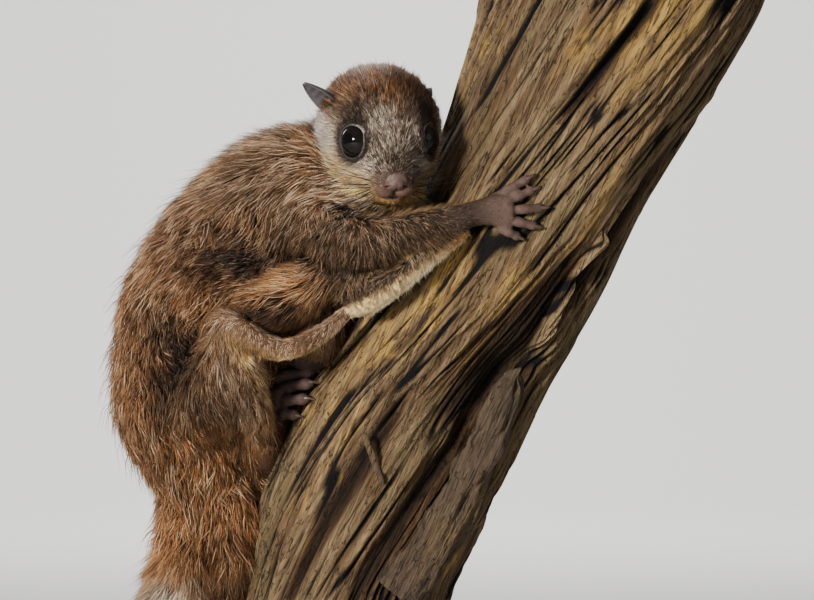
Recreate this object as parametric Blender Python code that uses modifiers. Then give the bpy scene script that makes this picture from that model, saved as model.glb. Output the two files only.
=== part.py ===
"""Young giant flying squirrel clinging, head up, to a cut length of dead trunk on a plain display stand.

Life size, one solid for each part of the body that has a name. Tables are in millimetres and the scene in
metres: +Z is up, +X is the way the trunk leans, -Y is the side that the animal's face looks out from. The
origin is the middle of the base's underside.
"""

import math

import bmesh
import bpy
import numpy as np
from mathutils import Matrix, Vector

MM = 0.001
GAP = 0.3            # clearance between solids that touch
SINK = 2.5           # how deep a lock's root goes into the body

# Stand
BASE_SIZE = (310.0, 210.0, 12.0)
BASE_CORNER = 34.0
BASE_EDGE = 2.0
ROD_RADIUS = 6.0
ROD_SPACING = 44.0
ROD_MIDDLE_X = -34.0

# Trunk: height, middle in X, half width in X, half depth in Y
TRUNK = [
    (256.0, -36.0, 49.0, 44.0),
    (272.0, -29.5, 52.0, 46.0),
    (322.0, -13.0, 60.5, 50.0),
    (372.0, 8.0, 62.0, 52.0),
    (422.0, 38.0, 59.5, 51.0),
    (472.0, 62.5, 59.0, 51.0),
    (522.0, 88.0, 64.5, 54.0),
    (580.0, 111.0, 72.0, 58.0),
]
TRUNK_SIDES = 30
TRUNK_RINGS = 12
GRAIN_TWIST = 0.0050     # radians round the trunk for each mm of height
# Long cracks: angle from the -X edge at the middle height, that height, half height, depth, half width in
# radians
CRACKS = [
    (1.17, 318.0, 62.0, 7.0, 0.13),
    (1.84, 311.0, 60.0, 8.0, 0.16),
    (1.66, 545.0, 44.0, 6.0, 0.10),
    (2.50, 430.0, 90.0, 5.0, 0.16),
    (3.70, 420.0, 120.0, 6.0, 0.15),
    (4.90, 400.0, 130.0, 5.0, 0.15),
]
HOLLOW = (2.10, 402.0, 48.0, 9.0, 0.42)   # the broken-out pocket below the hand, as a crack is stated
# Broken splinter that stands off the trunk's front: x, y, z, half width, half thickness
SPLINTER = [
    (-4.0, -38.0, 278.0, 11.0, 8.0),
    (17.0, -41.0, 307.0, 10.0, 8.0),
    (34.0, -43.5, 340.0, 9.0, 7.0),
    (46.0, -46.0, 366.0, 8.0, 6.0),
    (54.0, -49.0, 384.0, 6.5, 4.5),
    (56.5, -50.0, 389.0, 4.5, 3.0),
]

# Line of the back from inside the head to the tip of the tail, out to the tips of the coat:
# x, y, z, half width across the animal, half thickness from back to belly
SPINE = [
    (-17.0, -25.0, 489.0, 26.0, 25.0),
    (-41.0, -11.0, 485.0, 31.0, 30.0),
    (-65.0, -3.0, 470.0, 40.0, 39.0),
    (-82.5, 0.0, 444.5, 46.0, 44.0),
    (-95.0, 0.0, 419.5, 48.0, 47.0),
    (-103.5, 0.0, 394.5, 47.0, 44.0),
    (-106.5, 0.0, 369.5, 43.0, 41.0),
    (-104.0, 0.0, 347.0, 34.0, 33.0),
    (-101.5, 0.0, 329.5, 27.0, 26.0),
    (-102.5, 0.0, 312.0, 25.0, 24.5),
    (-106.0, -1.0, 292.0, 25.0, 24.5),
    (-111.5, -3.0, 272.0, 27.0, 26.0),
    (-116.5, -6.0, 250.0, 28.0, 27.0),
    (-120.0, -9.0, 222.0, 28.0, 27.0),
    (-121.0, -12.0, 192.0, 27.0, 26.0),
    (-118.5, -14.0, 162.0, 25.0, 24.0),
    (-114.0, -15.0, 132.0, 22.0, 21.0),
    (-108.0, -15.0, 102.0, 18.0, 17.0),
    (-101.0, -14.0, 74.0, 13.0, 12.0),
    (-94.0, -12.0, 47.0, 8.0, 7.5),
    (-90.0, -11.0, 27.0, 2.0, 2.0),
]
NECK_END = 54.0          # distances along the spine line at which one part gives way to the next
TORSO_END = 187.0
TAIL_BASE_END = 283.0
TAIL_MIDDLE_END = 379.0
TORSO_CORE = 6.5         # how far the core lies under the tips of the coat, half of the coat's depth
TAIL_CORE = 0.42         # the same for the tail, as a share of its half width
BACK = -math.pi / 2      # the angle of the back on the spine line's sections; the belly is opposite
ACROSS = (0.0, 1.0, 0.0)

# Locks of the long coat. Each tier grows from a ring round the spine line and covers the next one's roots:
# first and last ring, distance between rings, reach to each side of the back, length, width, thickness
NECK_LOCKS = (30.0, 31.0, 24.0, 1.9, 40.0, 20.0, 2.6)
TORSO_LOCKS = (63.0, 172.0, 26.0, 2.2, 46.0, 24.0, 2.8)
TAIL_LOCKS = (198.0, 450.0, 32.0, math.pi, 58.0, 27.0, 3.0)
# Sections of one lock: share of its length, share of its width, share of its thickness
LOCK_SECTIONS = [
    (0.00, 0.45, 1.0),
    (0.27, 0.95, 1.0),
    (0.52, 0.95, 0.9),
    (0.78, 0.55, 0.7),
]
LOCK_RISE = 1.2          # above 1, a lock leaves the body steeply and then lies along it
LOCK_DRIFT = 0.22        # how far round the body a lock's tip may bend to either side
LOCK_CLEARANCE = 2.5     # kept to limbs, head and trunk
LOCK_SEED = 11

# Limbs on the animal's right, which is the -Y side: x, y, z, radius. The left ones mirror them in Y.
ARM = [
    (-60.0, -14.0, 463.0, 24.0),
    (-48.0, -26.0, 458.0, 22.0),
    (-30.0, -37.0, 451.0, 18.5),
    (-10.0, -46.0, 450.5, 15.5),
    (10.0, -52.5, 456.5, 12.0),
    (22.0, -54.5, 461.0, 9.0),
    (32.5, -55.0, 464.0, 6.5),
]
ELBOW_AT = 0.50          # share of the arm's line at the elbow
ARM_RISES_FROM = -30.0   # the far arm climbs to its higher hand from here on
THIGH = [
    (-100.0, -20.0, 366.0, 25.0),
    (-95.0, -32.0, 378.0, 24.0),
    (-88.0, -41.0, 393.0, 18.0),
    (-83.5, -45.5, 404.0, 12.5),
    (-82.5, -46.5, 407.5, 7.0),
]
SHANK = [
    (-84.5, -46.0, 403.0, 9.5),
    (-79.0, -45.0, 389.0, 12.0),
    (-75.0, -39.5, 370.0, 11.0),
    (-71.5, -30.0, 353.0, 8.5),
    (-69.5, -22.0, 346.5, 6.5),
]
LEFT_HAND_RISE = 9.0     # the far hand grips a little higher

# Gliding membrane, drawn in as at rest: x, y, z, half thickness in Y, half height
MEMBRANE_FLANK = [
    (-30.0, -36.0, 440.0, 8.0, 10.0),
    (-38.0, -39.0, 435.0, 12.0, 14.0),
    (-53.0, -41.0, 426.0, 14.0, 17.0),
    (-72.0, -41.0, 416.0, 14.0, 16.0),
    (-86.0, -38.0, 409.0, 11.0, 12.0),
]
MEMBRANE_FRONT = [
    (31.0, -55.0, 455.5, 3.0, 3.0),
    (16.0, -55.5, 446.0, 4.5, 6.0),
    (-3.0, -54.0, 432.0, 5.5, 7.5),
    (-18.0, -51.0, 422.5, 5.5, 8.0),
    (-27.0, -48.5, 418.5, 5.0, 6.0),
]
MEMBRANE_REAR = [
    (-26.5, -49.5, 418.0, 5.0, 5.0),
    (-40.0, -52.0, 405.5, 7.0, 7.0),
    (-57.0, -54.5, 397.0, 8.0, 8.0),
    (-71.0, -56.0, 400.0, 8.0, 8.0),
    (-82.0, -57.0, 409.0, 8.5, 8.5),
    (-90.0, -54.0, 414.0, 8.0, 8.0),
]

# Right hand on the trunk's face: palm line, then each finger's root, length and slope in degrees above +X
PALM = [
    (32.5, -55.0, 464.0, 6.5, 6.0),
    (39.0, -55.5, 465.0, 8.5, 5.5),
    (45.0, -56.0, 465.5, 10.0, 5.0),
    (51.0, -56.2, 465.0, 9.5, 4.2),
    (53.0, -56.3, 465.0, 7.0, 3.0),
]
FINGERS = [
    (42.5, 471.0, 20.0, 30.0),
    (48.5, 469.5, 15.0, 24.0),
    (50.5, 465.5, 16.0, 5.0),
    (49.5, 461.0, 14.0, -12.0),
    (46.0, 457.0, 10.0, -25.0),
]
KNUCKLE_LIFT = 4.6       # how far the fingers' roots stand off the wood
FINGER_BOW = 2.2         # how far a gripping finger arches over the wood
FINGER_RADIUS = 2.5
CLAW_LENGTH = 6.0
CLAW_RADIUS = 1.1
# Right foot against the trunk's -X edge: sole line, then each toe's tip as angle round the trunk and height
SOLE = [
    (-69.0, -19.0, 341.5, 4.5, 5.0),
    (-68.0, -18.0, 348.0, 6.0, 6.0),
    (-64.5, -18.0, 361.0, 6.5, 5.5),
    (-63.5, -19.0, 374.0, 7.5, 5.5),
    (-64.0, -20.0, 379.0, 5.5, 4.5),
]
TOES = [
    (16.0, 386.0, 3.6),
    (24.0, 380.5, 3.2),
    (29.0, 373.0, 3.2),
    (27.0, 365.0, 3.0),
    (4.0, 384.0, 3.0),
]
TOE_ROOTS = [
    (-64.0, -17.0, 382.0),
    (-63.3, -18.7, 376.7),
    (-62.7, -20.3, 371.3),
    (-62.0, -22.0, 366.0),
    (-64.0, -12.0, 377.0),
]

# Head, in its own frame: x to the animal's right, y forward, z up
HEAD_AT = (-12.5, -34.0, 504.5)
HEAD_YAW = 14.0
HEAD_PITCH = 22.0
HEAD_ROLL = -2.0
HEAD_SQUARENESS = 2.3    # 2 would make the head's sections ellipses
# distance forward, height of the section's middle, half width, half height, out to the tips of the short fur
HEAD = [
    (-34.0, 2.0, 9.0, 9.0),
    (-30.0, 2.0, 19.0, 18.5),
    (-20.0, 2.0, 27.5, 27.5),
    (-7.0, 1.5, 31.5, 32.0),
    (5.0, 1.0, 31.0, 31.5),
    (14.0, -1.0, 27.5, 28.0),
    (21.0, -4.0, 23.0, 23.5),
    (27.0, -7.5, 18.0, 18.0),
    (32.0, -11.0, 13.5, 13.5),
    (36.5, -13.0, 10.0, 10.0),
    (39.5, -14.5, 6.5, 7.0),
]
EYE_AT = (15.5, 22.5, 4.0)
EYE_RADIUS = 9.0
EYE_TURN = 57.0
EYE_RISE = 8.0
ORBIT_HALF = (14.5, 14.5, 5.6)       # the mound that the eye sits in, its last measure along the eye's axis
LID_RADIUS = 8.1
LID_ROLL = 1.3
NOSE_AT = (0.0, 39.0, -14.0)
NOSE_HALF = (5.6, 4.6, 4.6)
NOSTRIL_AT = (3.3, 43.0, -15.0)
NOSTRIL_HALF = (1.3, 2.2, 1.0)
CHEEK_PAD = (5.5, 34.0, -17.0)       # the pad that carries the whiskers
CHEEK_PAD_HALF = (6.5, 6.5, 5.8)
JAW = [
    (8.0, -22.0, 12.0, 8.0),
    (16.0, -23.0, 11.5, 7.5),
    (24.0, -23.0, 9.5, 6.5),
    (31.0, -22.0, 7.0, 4.6),
    (35.5, -21.3, 4.5, 3.2),
]
# Each ear's root and tip. The left one is laid back, out of sight behind the head
EARS = {
    "ear_right": ((23.5, -2.5, 12.0), (37.5, -8.5, 23.5)),
    "ear_left": ((26.0, -5.0, 12.0), (32.0, -24.0, 15.0)),
}
EAR_FACES = (0.88, 0.42, -0.15)      # the way the cup opens
EAR_HALF_WIDTH = 8.0
EAR_CUP_DEPTH = 4.0
EAR_WALL = 1.5

COLOURS = {
    "coat": ((0.30, 0.16, 0.075), 0.9),
    "face": ((0.40, 0.31, 0.22), 0.9),
    "tail": ((0.33, 0.15, 0.06), 0.9),
    "membrane": ((0.42, 0.31, 0.20), 0.9),
    "membrane_hem": ((0.72, 0.60, 0.42), 0.85),
    "skin": ((0.30, 0.20, 0.17), 0.7),
    "eye": ((0.01, 0.01, 0.015), 0.05),
    "trunk": ((0.36, 0.26, 0.13), 0.95),
    "base": ((0.10, 0.07, 0.05), 0.45),
    "steel": ((0.35, 0.35, 0.36), 0.3),
}


def clear_scene():
    for obj in list(bpy.data.objects):
        bpy.data.objects.remove(obj)


def collection(name):
    found = bpy.data.collections.new(name)
    bpy.context.scene.collection.children.link(found)
    return found


def material(name):
    colour, roughness = COLOURS[name]
    made = bpy.data.materials.get(name)
    if made is None:
        made = bpy.data.materials.new(name)
        made.use_nodes = True
        shader = made.node_tree.nodes["Principled BSDF"]
        shader.inputs["Base Color"].default_value = (*colour, 1.0)
        shader.inputs["Roughness"].default_value = roughness
        shader.inputs["Metallic"].default_value = 0.9 if name == "steel" else 0.0
    return made


def smooth_through(table, where):
    """Points of a Catmull-Rom curve through the table's rows. where runs from 0 to the last row's number."""
    last = len(table) - 1
    low = np.clip(np.floor(where).astype(int), 0, last - 1)
    u = (where - low)[:, None]
    rows = [table[np.clip(low + k, 0, last)] for k in (-1, 0, 1, 2)]
    a, b, c, d = rows
    curve = (2 * a - 5 * b + 4 * c - d) * u**2 + (3 * b - a - 3 * c + d) * u**3
    return 0.5 * (2 * b + (c - a) * u + curve)


def unit(vector):
    return vector / np.linalg.norm(vector)


def mirrored(table):
    """The same table on the animal's left."""
    return [(row[0], -row[1], *row[2:]) for row in table]


def rounded(table):
    """A table of x, y, z and one radius, as x, y, z and two half widths."""
    return [(x, y, z, r, r) for x, y, z, r in table]


class Line:
    """A bent, tapered length of body: elliptical sections along a smooth centreline."""

    SAMPLES = 240

    def __init__(self, table, side=ACROSS):
        rows = np.array(table, float)
        self.rows = smooth_through(rows, np.linspace(0, len(rows) - 1, self.SAMPLES))
        steps = np.linalg.norm(np.diff(self.rows[:, :3], axis=0), axis=1)
        self.arc = np.concatenate([[0.0], np.cumsum(steps)])
        self.length = self.arc[-1]
        self.side = np.array(side, float)

    def row(self, s):
        return np.array([np.interp(s, self.arc, column) for column in self.rows.T])

    def frame(self, s):
        """Centre, half widths, and the section's two directions, at a distance s along the line."""
        row = self.row(s)
        reach = 2.0
        ahead = self.row(min(s + reach, self.length))[:3]
        behind = self.row(max(s - reach, 0.0))[:3]
        tangent = unit(ahead - behind)
        side = unit(self.side - self.side.dot(tangent) * tangent)
        centre = row[:3]
        if s > self.length:
            centre = centre + tangent * (s - self.length)
        return centre, row[3], row[4], side, np.cross(tangent, side), tangent

    def point(self, s, angle, offset=0.0):
        """A point on the section at s, offset out from its outline."""
        centre, wide, thick, side, up, _ = self.frame(s)
        wide = max(wide + offset, 0.3)
        thick = max(thick + offset, 0.3)
        return centre + side * wide * math.cos(angle) + up * thick * math.sin(angle)

    def radius(self, s):
        """The mean half width at s."""
        return sum(self.row(s)[3:]) / 2

    def ring(self, s, sides, offset=0.0):
        return [self.point(s, 2 * math.pi * k / sides, offset) for k in range(sides)]


def mesh_object(name, points, faces, paint, where):
    """An object from points in mm and faces, with its normals turned out."""
    mesh = bpy.data.meshes.new(name)
    mesh.from_pydata([tuple(float(v) * MM for v in p) for p in points], [], faces)
    made = bmesh.new()
    made.from_mesh(mesh)
    bmesh.ops.recalc_face_normals(made, faces=made.faces)
    made.to_mesh(mesh)
    made.free()
    mesh.materials.append(material(paint))
    mesh.shade_smooth()
    mesh.set_sharp_from_angle(angle=math.radians(50))
    obj = bpy.data.objects.new(name, mesh)
    where.objects.link(obj)
    return obj


def adopt(obj, name, paint, where):
    """Names a primitive that was just added, and gives it its material and its collection."""
    obj.name = obj.data.name = name
    obj.data.materials.append(material(paint))
    for owner in list(obj.users_collection):
        owner.objects.unlink(obj)
    where.objects.link(obj)
    return obj


def loft(name, rings, paint, where):
    """A closed solid through rings of equal size, with flat ends."""
    size = len(rings[0])
    points = [p for ring in rings for p in ring]
    faces = []
    for r in range(len(rings) - 1):
        for k in range(size):
            a = r * size + k
            b = r * size + (k + 1) % size
            faces += [(a, b, b + size), (a, b + size, a + size)]
    faces.append(tuple(range(size)))
    faces.append(tuple(range(len(points) - size, len(points))))
    return mesh_object(name, points, faces, paint, where)


def tube(name, line, paint, where, sides=12, rings=8, start=0.0, end=None, under=None, grow=0.0):
    """A line's solid between two seams, drawn back by half the gap. under(s) is the core's depth."""
    end = line.length if end is None else end
    stops = np.linspace(start, end, rings)
    outline = [line.ring(s, sides, grow - (under(s) if under else 0.0)) for s in stops]
    back = GAP / 2 - grow
    outline[0] = [p + line.frame(start)[5] * back for p in outline[0]]
    outline[-1] = [p - line.frame(end)[5] * back for p in outline[-1]]
    return loft(name, outline, paint, where)


def maker(parts, spare, paint, line, sides=12, rings=8, start=0.0, end=None, under=None):
    """A function that builds a part when it is given a name, and otherwise a cutter grown by the gap."""
    def make(name=None):
        if name:
            return tube(name, line, paint, parts, sides, rings, start, end, under)
        return tube("cutter", line, paint, spare, sides, rings, start, end, under, GAP)
    return make


def apply_modifier(obj, modifier):
    bpy.context.view_layer.objects.active = obj
    with bpy.context.temp_override(object=obj, active_object=obj, selected_objects=[obj]):
        bpy.ops.object.modifier_apply(modifier=modifier.name)


def boolean(obj, others, operation, solver="MANIFOLD"):
    """Cuts obj by, or joins it with, a list of closed objects, which are then removed.

    The exact solver leaves open edges where the listed objects also cross one another.
    """
    group = collection("boolean operands")
    for other in others:
        for owner in list(other.users_collection):
            owner.objects.unlink(other)
        group.objects.link(other)
    modifier = obj.modifiers.new(operation.lower(), "BOOLEAN")
    modifier.operation = operation
    modifier.solver = solver
    modifier.operand_type = "COLLECTION"
    modifier.collection = group
    apply_modifier(obj, modifier)
    for other in others:
        bpy.data.objects.remove(other)
    bpy.data.collections.remove(group)
    return obj


def keep_largest(obj):
    """Leaves only the closed surface with the most volume."""
    made = bmesh.new()
    made.from_mesh(obj.data)
    unseen = set(made.faces)
    shells = []
    while unseen:
        shell, front = set(), [unseen.pop()]
        while front:
            face = front.pop()
            shell.add(face)
            for edge in face.edges:
                for other in edge.link_faces:
                    if other in unseen:
                        unseen.discard(other)
                        front.append(other)
        shells.append(shell)

    def volume(shell):
        return abs(sum(f.calc_center_median().dot(f.normal) * f.calc_area() for f in shell))

    largest = max(shells, key=volume)
    loose = [f for shell in shells if shell is not largest for f in shell]
    bmesh.ops.delete(made, geom=loose, context="FACES")
    made.to_mesh(obj.data)
    made.free()
    return obj


def cut(obj, *makers):
    """Cuts away what each maker builds as a cutter, which is grown by the gap."""
    boolean(obj, [make() for make in makers], "DIFFERENCE")
    return keep_largest(obj)


def ellipsoid(name, centre, half, paint, where, segments=16, rings=10, frame=None, axis=None):
    """A ball stretched to the given half sizes, the last of them along the axis."""
    made = bmesh.new()
    bmesh.ops.create_uvsphere(made, u_segments=segments, v_segments=rings, radius=1.0)
    bmesh.ops.scale(made, vec=[h * MM for h in half], verts=made.verts)
    if axis is not None:
        turn = Vector(axis).to_track_quat("Z", "Y").to_matrix()
        bmesh.ops.rotate(made, matrix=turn, verts=made.verts)
    bmesh.ops.translate(made, vec=[c * MM for c in centre], verts=made.verts)
    if frame is not None:
        bmesh.ops.transform(made, matrix=frame, verts=made.verts)
    mesh = bpy.data.meshes.new(name)
    made.to_mesh(mesh)
    made.free()
    mesh.materials.append(material(paint))
    mesh.shade_smooth()
    obj = bpy.data.objects.new(name, mesh)
    where.objects.link(obj)
    return obj


def trunk_section(z):
    """Middle in X, half width and half depth of the trunk at a height."""
    rows = np.array(TRUNK)
    place = np.interp(z, rows[:, 0], np.arange(len(rows)))
    return smooth_through(rows, np.array([place]))[0][1:]


def trunk_relief(angle, z):
    """How far the weathered surface stands out from the plain section, in mm."""
    relief = 0.7 * math.sin(5 * (angle - GRAIN_TWIST * (z - 400.0)) + 1.0)
    relief += 0.5 * math.sin(11 * (angle - GRAIN_TWIST * (z - 400.0)) + 0.4)
    for middle, height, reach, depth, width in [*CRACKS, HOLLOW]:
        turn = angle - middle - GRAIN_TWIST * (z - height)
        turn = (turn + math.pi) % (2 * math.pi) - math.pi
        along = min(abs(z - height) / reach, 1.0)
        relief -= depth * math.exp(-((turn / width) ** 2)) * (1 - along**4)
    return relief


def trunk_point(angle, z, lift=0.0, relief=True):
    """A point of the trunk's surface. The angle runs from the -X edge, past the -Y face, to the +X edge."""
    middle, wide, deep = trunk_section(z)
    out = lift + (trunk_relief(angle, z) if relief else 0.0)
    return np.array([middle - (wide + out) * math.cos(angle), -(deep + out) * math.sin(angle), z])


def trunk_face(x, z, lift, side):
    """The point over the trunk's front (side -1) or back (side 1) face at x and z."""
    middle, wide, deep = trunk_section(z)
    share = max(1.0 - ((x - middle) / wide) ** 2, 0.0)
    return np.array([x, side * (deep * math.sqrt(share) + lift), z])


def trunk_solid(name, where, grow=0.0):
    low, high = TRUNK[0][0], TRUNK[-1][0]
    rings = []
    for z in np.linspace(low, high, TRUNK_RINGS):
        turns = [2 * math.pi * k / TRUNK_SIDES for k in range(TRUNK_SIDES)]
        rings.append([trunk_point(turn, z, grow) for turn in turns])
    return loft(name, rings, "trunk", where)


def build_stand(parts):
    """A flat base with rounded corners, and two rods up to the trunk's sawn end."""
    length, width, height = (v * MM for v in BASE_SIZE)
    bpy.ops.mesh.primitive_cube_add(size=1.0, location=(0, 0, height / 2))
    base = adopt(bpy.context.object, "stand_base", "base", parts)
    base.data.transform(Matrix.Diagonal((length, width, height, 1.0)))
    upright = base.data.attributes.new("bevel_weight_edge", "FLOAT", "EDGE")
    for edge in base.data.edges:
        low, high = (base.data.vertices[v].co for v in edge.vertices)
        upright.data[edge.index].value = float(abs(low.z - high.z) > height / 2)
    corners = base.modifiers.new("corners", "BEVEL")
    corners.limit_method = "WEIGHT"
    corners.width = BASE_CORNER * MM
    corners.segments = 6
    rim = base.modifiers.new("rim", "BEVEL")
    rim.limit_method = "ANGLE"
    rim.angle_limit = math.radians(60)
    rim.width = BASE_EDGE * MM
    rim.segments = 1
    rim.use_clamp_overlap = False

    low = BASE_SIZE[2] + GAP
    high = TRUNK[0][0] - GAP
    for name, side in (("stand_rod_left", -1), ("stand_rod_right", 1)):
        x = ROD_MIDDLE_X + side * ROD_SPACING / 2
        bpy.ops.mesh.primitive_cylinder_add(
            vertices=20,
            radius=ROD_RADIUS * MM,
            depth=(high - low) * MM,
            location=(x * MM, 0, (low + high) / 2 * MM),
        )
        rod = adopt(bpy.context.object, name, "steel", parts)
        rod.data.shade_smooth()
        rod.data.set_sharp_from_angle(angle=math.radians(40))


def build_trunk(parts, spare):
    trunk = trunk_solid("perch_trunk", parts)
    splinter = tube("splinter", Line(SPLINTER, side=(1.0, 0.0, -0.6)), "trunk", spare, sides=8, rings=8)
    return keep_largest(boolean(trunk, [splinter], "UNION"))


def head_frame():
    """World matrix, in metres, of the head's own frame."""
    yaw, pitch, roll = (math.radians(v) for v in (HEAD_YAW, HEAD_PITCH, HEAD_ROLL))
    level = np.array([math.sin(yaw), -math.cos(yaw), 0.0])
    right = np.array([-math.cos(yaw), -math.sin(yaw), 0.0])
    up = np.array([0.0, 0.0, 1.0])
    forward = level * math.cos(pitch) - up * math.sin(pitch)
    crown = up * math.cos(pitch) + level * math.sin(pitch)
    axes = np.column_stack([
        right * math.cos(roll) + crown * math.sin(roll),
        forward,
        crown * math.cos(roll) - right * math.sin(roll),
    ])
    matrix = Matrix(axes.tolist()).to_4x4()
    matrix.translation = [v * MM for v in HEAD_AT]
    return matrix


def placed(points, frame):
    """Points in mm of the head's frame, moved to the world's."""
    turn = np.array(frame.to_3x3())
    return [turn @ np.array(p) + np.array(frame.translation) / MM for p in points]


def section_rings(table, sides, steps, frame, grow=0.0):
    """Elliptical sections across the head's forward axis."""
    rows = np.array(table, float)
    rows = smooth_through(rows, np.linspace(0, len(rows) - 1, steps))
    rings = []
    for number, (y, z, wide, high) in enumerate(rows):
        y += grow * (number == steps - 1) - grow * (number == 0)
        ring = []
        for k in range(sides):
            cosine, sine = math.cos(2 * math.pi * k / sides), math.sin(2 * math.pi * k / sides)
            x = math.copysign(abs(cosine) ** (2 / HEAD_SQUARENESS), cosine)
            up = math.copysign(abs(sine) ** (2 / HEAD_SQUARENESS), sine)
            ring.append(((wide + grow) * x, y, z + (high + grow) * up))
        rings.append(placed(ring, frame))
    return rings


def head_solid(name, where, frame, grow=0.0):
    return loft(name, section_rings(HEAD, 20, 12, frame, grow), "face", where)


def sided(place, side):
    return (place[0] * side, *place[1:])


def eye_axis(side):
    turn, rise = math.radians(EYE_TURN), math.radians(EYE_RISE)
    level = math.cos(rise)
    return np.array([side * math.sin(turn) * level, math.cos(turn) * level, math.sin(rise)])


def lid_ring(side, frame, spare):
    """The rim of both eyelids, a ring round the eye's opening."""
    axis = eye_axis(side)
    middle = np.array(sided(EYE_AT, side)) + axis * math.sqrt(EYE_RADIUS**2 - LID_RADIUS**2)
    bpy.ops.mesh.primitive_torus_add(
        major_segments=14,
        minor_segments=4,
        major_radius=(LID_RADIUS + 0.4) * MM,
        minor_radius=LID_ROLL * MM,
    )
    ring = bpy.context.object
    turn = Vector(axis).to_track_quat("Z", "Y").to_matrix().to_4x4()
    ring.data.transform(frame @ Matrix.Translation(Vector(middle) * MM) @ turn)
    return adopt(ring, "lid", "face", spare)


def build_head(parts, spare):
    frame = head_frame()
    head = head_solid("head", parts, frame)
    joined = []
    for side in (1, -1):
        pad_at, eye_at = sided(CHEEK_PAD, side), sided(EYE_AT, side)
        joined.append(ellipsoid("pad", pad_at, CHEEK_PAD_HALF, "face", spare, 10, 6, frame))
        joined.append(ellipsoid("orbit", eye_at, ORBIT_HALF, "face", spare, 12, 6, frame, eye_axis(side)))
        joined.append(lid_ring(side, frame, spare))
    boolean(head, joined, "UNION")

    def feature(place, half, paint, side, rounds):
        def make(name=None):
            size = half if name else [h + GAP for h in half]
            where = parts if name else spare
            return ellipsoid(name or "cutter", sided(place, side), size, paint, where, *rounds, frame)
        return make

    eyes = [feature(EYE_AT, [EYE_RADIUS] * 3, "eye", side, (12, 9)) for side in (1, -1)]
    nose = feature(NOSE_AT, NOSE_HALF, "skin", 1, (12, 7))
    cut(head, *eyes, nose)
    eyes[0]("eye_right")
    eyes[1]("eye_left")
    nostrils = []
    for side in (1, -1):
        place = sided(NOSTRIL_AT, side)
        nostrils.append(ellipsoid("nostril", place, NOSTRIL_HALF, "skin", spare, 6, 4, frame))
    boolean(nose("nose"), nostrils, "DIFFERENCE")

    def whole_head():
        pads = []
        for side in (1, -1):
            size = [h + GAP for h in CHEEK_PAD_HALF]
            pads.append(ellipsoid("pad", sided(CHEEK_PAD, side), size, "face", spare, 10, 6, frame))
        return boolean(head_solid("head cutter", spare, frame, GAP), pads, "UNION")

    jaw = loft("lower_jaw", section_rings(JAW, 12, 6, frame), "face", parts)
    cut(jaw, whole_head)
    for name, side in (("ear_right", 1), ("ear_left", -1)):
        build_ear(name, side, frame, parts, spare, whole_head)
    return whole_head


def build_ear(name, side, frame, parts, spare, whole_head):
    """A thin leaf, hollowed towards the front."""
    root, tip = (np.array(sided(p, side)) for p in EARS[name])
    along = unit(tip - root)
    facing = np.array(sided(EAR_FACES, side))
    facing = unit(facing - facing.dot(along) * along)
    across = np.cross(along, facing)
    length = np.linalg.norm(tip - root)
    around, rings = 12, 7
    outline = []
    for k in range(rings):
        share = k / (rings - 1)
        wide = EAR_HALF_WIDTH * math.sin(math.pi * (0.30 + 0.68 * share)) ** 0.8
        back = EAR_CUP_DEPTH * math.sin(math.pi * (0.35 + 0.62 * share))
        middle = root + along * length * (share * 1.12 - 0.12)
        ring = []
        for m in range(around):
            turn = 2 * math.pi * m / around
            bowl = -back * (1 - math.cos(turn) ** 2)
            wall = math.copysign(EAR_WALL / 2, math.sin(turn)) * abs(math.sin(turn)) ** 0.5
            ring.append(middle + across * wide * math.cos(turn) + facing * (bowl + wall))
        outline.append(placed(ring, frame))
    ear = loft(name, outline, "skin", parts)
    return cut(ear, whole_head)


def lock_shape(line, start, angle, length, width, thickness, depth, lift, drift):
    """One flat, tapered lock, from depth under the coat's outline at its root to lift over it at its tip."""
    points = []
    for share, wide, thick in LOCK_SECTIONS:
        s = start + share * length
        offset = lift * share - depth * (1 - share) ** LOCK_RISE
        turn = angle + drift * share**2
        spread = width / 2 * wide / (line.radius(s) + offset)
        half = thickness / 2 * thick
        points += [
            line.point(s, turn - spread, offset),
            line.point(s, turn, offset - half),
            line.point(s, turn + spread, offset),
            line.point(s, turn, offset + half),
        ]
    points.append(line.point(start + length, angle + drift, lift))
    faces = [(0, 1, 3), (1, 2, 3)]
    for r in range(0, len(points) - 5, 4):
        for k in range(4):
            a, b = r + k, r + (k + 1) % 4
            faces += [(a, b, b + 4), (a, b + 4, a + 4)]
    last = len(points) - 1
    faces += [(last - 4 + k, last - 4 + (k + 1) % 4, last) for k in range(4)]
    return points, faces


def grown_locks(line, plan, under, seams, obstacles, paint, spare):
    """The locks whose roots lie between two seams, as separate closed solids."""
    first, last, pitch, reach, length, width, thickness = plan
    draw = np.random.default_rng(LOCK_SEED)
    locks = []
    for tier, ring in enumerate(np.arange(first, last, pitch)):
        radius = line.radius(min(ring + length / 2, line.length - 8))
        count = max(3, round(2 * reach * radius / width))
        for k in range(count):
            place = (k + 0.5 + 0.5 * (tier % 2)) / count
            place = place % 1.0 if reach == math.pi else min(place, 1.0 - 0.3 / count)
            angle = BACK + reach * (2 * place - 1) + draw.uniform(-0.05, 0.05)
            start = ring + draw.uniform(-2.5, 2.5)
            long = min(length * draw.uniform(0.9, 1.12), line.length - start)
            wide = min(width * draw.uniform(0.86, 1.06), 2.2 * line.radius(start + long / 2))
            lift, drift = draw.uniform(-0.5, 2.0), draw.uniform(-LOCK_DRIFT, LOCK_DRIFT)
            if not seams[0] < start < seams[1]:
                continue
            depth = under(start) + SINK
            for shorter in (1.0, 0.85, 0.7, 0.55):
                size = (long * shorter, wide, thickness)
                points, faces = lock_shape(line, start, angle, *size, depth, lift, drift)
                if all(clear_of(p, obstacles) for p in points[4:]):
                    locks.append(mesh_object("lock", points, faces, paint, spare))
                    break
    return locks


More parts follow.
